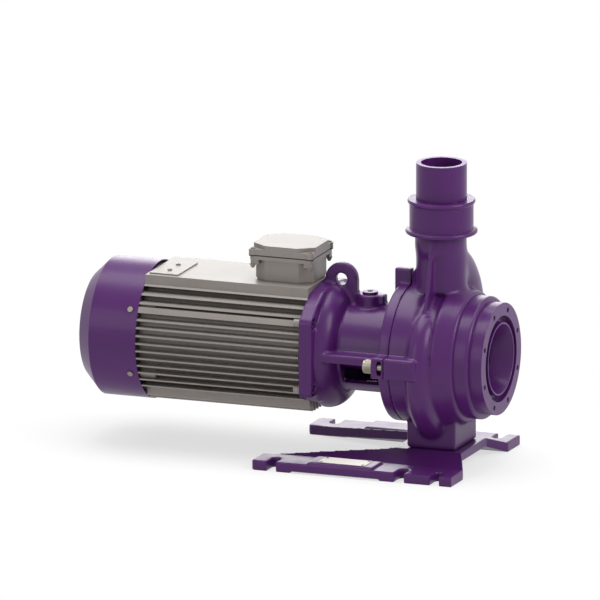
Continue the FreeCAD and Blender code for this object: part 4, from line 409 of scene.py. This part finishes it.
def knurl_ridges(tree, given):
    """Straight ridges round the heads of a pair of bolts."""
    bar = add(tree, "GeometryNodeMeshCylinder", {"Vertices": 6, "Radius": given["Ridge"], "Depth": given["Length"]})
    circle = add(tree, "GeometryNodeMeshCircle", {"Vertices": given["Ridges"], "Radius": given["Head radius"]})
    ring = add(tree, "GeometryNodeInstanceOnPoints", {"Points": circle.outputs[0],
                                                      "Instance": bar.outputs["Mesh"]})
    start = add(tree, "ShaderNodeCombineXYZ", {"Y": given["First bolt"]})
    step = add(tree, "ShaderNodeCombineXYZ", {"Y": given["Between bolts"]})
    pair = add(tree, "GeometryNodeMeshLine", {"Count": 2, "Start Location": start.outputs[0],
                                              "Offset": step.outputs[0]})
    return add(tree, "GeometryNodeInstanceOnPoints", {"Points": pair.outputs[0],
                                                      "Instance": ring.outputs[0]}).outputs[0]


SUCTION_FACE, _, SHAFT_HEIGHT = mounts["suction_flange_bolts"]["pos_m"]
flange_holes = mounts["suction_flange_bolts"]["dims"]
THREAD_INSET = 1.5 * MM
# Where the two clamp bolts lie across the shaft, and the middle of their heads along it
BOLT_REACH = 173 * MM
BOLT_HEADS = 231 * MM
ALONG_SHAFT = Matrix.Rotation(math.radians(-90), 4, "Y")

threads = grown("flange_hole_threads", [
    ("Turns", "NodeSocketFloat", 12.0), ("Hole radius", "NodeSocketFloat", flange_holes["hole_r_mm"] * MM),
    ("Depth", "NodeSocketFloat", 21 * MM), ("Ridge", "NodeSocketFloat", 0.55 * MM),
    ("Holes", "NodeSocketInt", flange_holes["count"]),
    ("Hole circle", "NodeSocketFloat", flange_holes["pcd_mm"] / 2 * MM),
    ("Finish", "NodeSocketMaterial", finishes["grey_iron"])], thread_ridges)
threads.data.transform(Matrix.Translation((SUCTION_FACE - THREAD_INSET, 0, SHAFT_HEIGHT)) @ ALONG_SHAFT
                       @ Matrix.Rotation(math.pi / flange_holes["count"], 4, "Z"))
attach(threads, "pump_body")

knurls = grown("bolt_head_knurls", [
    ("Ridges", "NodeSocketInt", 54), ("Head radius", "NodeSocketFloat", 15 * MM),
    ("Ridge", "NodeSocketFloat", 0.6 * MM), ("Length", "NodeSocketFloat", 14 * MM),
    ("First bolt", "NodeSocketFloat", -BOLT_REACH), ("Between bolts", "NodeSocketFloat", 2 * BOLT_REACH),
    ("Finish", "NodeSocketMaterial", finishes["zinc_steel"])], knurl_ridges)
knurls.data.transform(Matrix.Translation((BOLT_HEADS, 0, SHAFT_HEIGHT)) @ ALONG_SHAFT)
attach(knurls, "pump_body")


# Stage, light and camera

WHITE = (1.0, 1.0, 1.0, 1.0)
FLOOR_HALF = 6


def seen_directly(tree):
    """One where the camera, a mirror or a glass looks, and nought where light falls."""
    path = add(tree, "ShaderNodeLightPath")
    seen = add(tree, "ShaderNodeMath", {0: path.outputs["Is Camera Ray"], 1: path.outputs["Is Glossy Ray"]},
               operation="MAXIMUM")
    seen = add(tree, "ShaderNodeMath", {0: seen.outputs[0], 1: path.outputs["Is Transmission Ray"]},
               operation="MAXIMUM")
    return seen.outputs[0]


def studio_floor():
    """Pale matt floor that keeps the object's shadow and turns to plain white away from it."""
    material, tree, place = started("pale_studio_floor")
    lit = add(tree, "ShaderNodeBsdfDiffuse", {"Color": linear("#F4F3F2")})
    white = add(tree, "ShaderNodeEmission", {"Color": WHITE, "Strength": 1.0})
    apart = add(tree, "ShaderNodeVectorMath", {0: place}, operation="LENGTH")
    far = add(tree, "ShaderNodeMapRange", {"Value": apart.outputs["Value"], "From Min": 0.35, "From Max": 0.95,
                                           "To Min": 0.62})
    share = add(tree, "ShaderNodeMath", {0: seen_directly(tree), 1: far.outputs["Result"]}, operation="MULTIPLY")
    mix = add(tree, "ShaderNodeMixShader", {0: share.outputs[0], 1: lit.outputs[0], 2: white.outputs[0]})
    add(tree, "ShaderNodeOutputMaterial", {"Surface": mix.outputs[0]})
    return material


def soft_sky(light_strength):
    """White where it is seen or mirrored, and plain soft light where it falls on the object."""
    world = bpy.data.worlds.new("studio_room")
    bpy.context.scene.world = world
    world.use_nodes = True
    tree = world.node_tree
    tree.nodes.clear()
    soft = add(tree, "ShaderNodeBackground", {"Color": WHITE, "Strength": light_strength})
    white = add(tree, "ShaderNodeBackground", {"Color": WHITE, "Strength": 1.0})
    mix = add(tree, "ShaderNodeMixShader", {0: seen_directly(tree), 1: soft.outputs[0], 2: white.outputs[0]})
    add(tree, "ShaderNodeOutputWorld", {"Surface": mix.outputs[0]})


def soft_box(name, place, aim, size, watts):
    """A square lamp that lights the object from a place and isn't seen itself."""
    lamp = bpy.data.lights.new(name, "AREA")
    lamp.shape = "SQUARE"
    lamp.size = size
    lamp.energy = watts
    stand = bpy.data.objects.new(name, lamp)
    bpy.context.scene.collection.objects.link(stand)
    stand.location = place
    stand.rotation_euler = (Vector(aim) - Vector(place)).to_track_quat("-Z", "Y").to_euler()
    stand.visible_camera = False


floor_mesh = bpy.data.meshes.new("floor_mesh")
floor_corners = [(FLOOR_HALF * x, FLOOR_HALF * y, 0) for x, y in ((-1, -1), (1, -1), (1, 1), (-1, 1))]
floor_mesh.from_pydata(floor_corners, [], [(0, 1, 2, 3)])
floor = placed("floor", floor_mesh)
floor_mesh.materials.append(studio_floor())

soft_sky(light_strength=0.34)
soft_box("overhead_light", place=(-0.2, 0.2, 2.4), aim=(0.0, 0.0, 0.3), size=2.0, watts=52)
soft_box("front_light", place=(-1.0, -2.6, 1.3), aim=(0.0, 0.0, 0.3), size=1.4, watts=10)
soft_box("right_light", place=(2.3, -0.2, 1.7), aim=(0.1, 0.0, 0.3), size=1.2, watts=27)
soft_box("low_back_light", place=(-1.1, 2.8, 1.15), aim=(0.0, 0.0, 0.2), size=1.6, watts=22)

# The photo is a parallel view. The camera aims at the point that lies in the middle of the picture. Sizes in metres.
AZIMUTH = math.radians(20.77)
ELEVATION = math.radians(13.6)
PICTURE_WIDTH = 1.344
PICTURE_MIDDLE = Vector((0.0005, 0.0, 0.3446))
CAMERA_DISTANCE = 3.0
lens = bpy.data.cameras.new("photo_camera")
lens.type = "ORTHO"
lens.ortho_scale = PICTURE_WIDTH
camera = bpy.data.objects.new("photo_camera", lens)
bpy.context.scene.collection.objects.link(camera)
camera.rotation_euler = (math.pi / 2 - ELEVATION, 0.0, AZIMUTH)
back = Vector((math.sin(AZIMUTH) * math.cos(ELEVATION), -math.cos(AZIMUTH) * math.cos(ELEVATION),
               math.sin(ELEVATION)))
camera.location = PICTURE_MIDDLE + back * CAMERA_DISTANCE
bpy.context.scene.camera = camera
bpy.context.scene.view_settings.view_transform = "Standard"
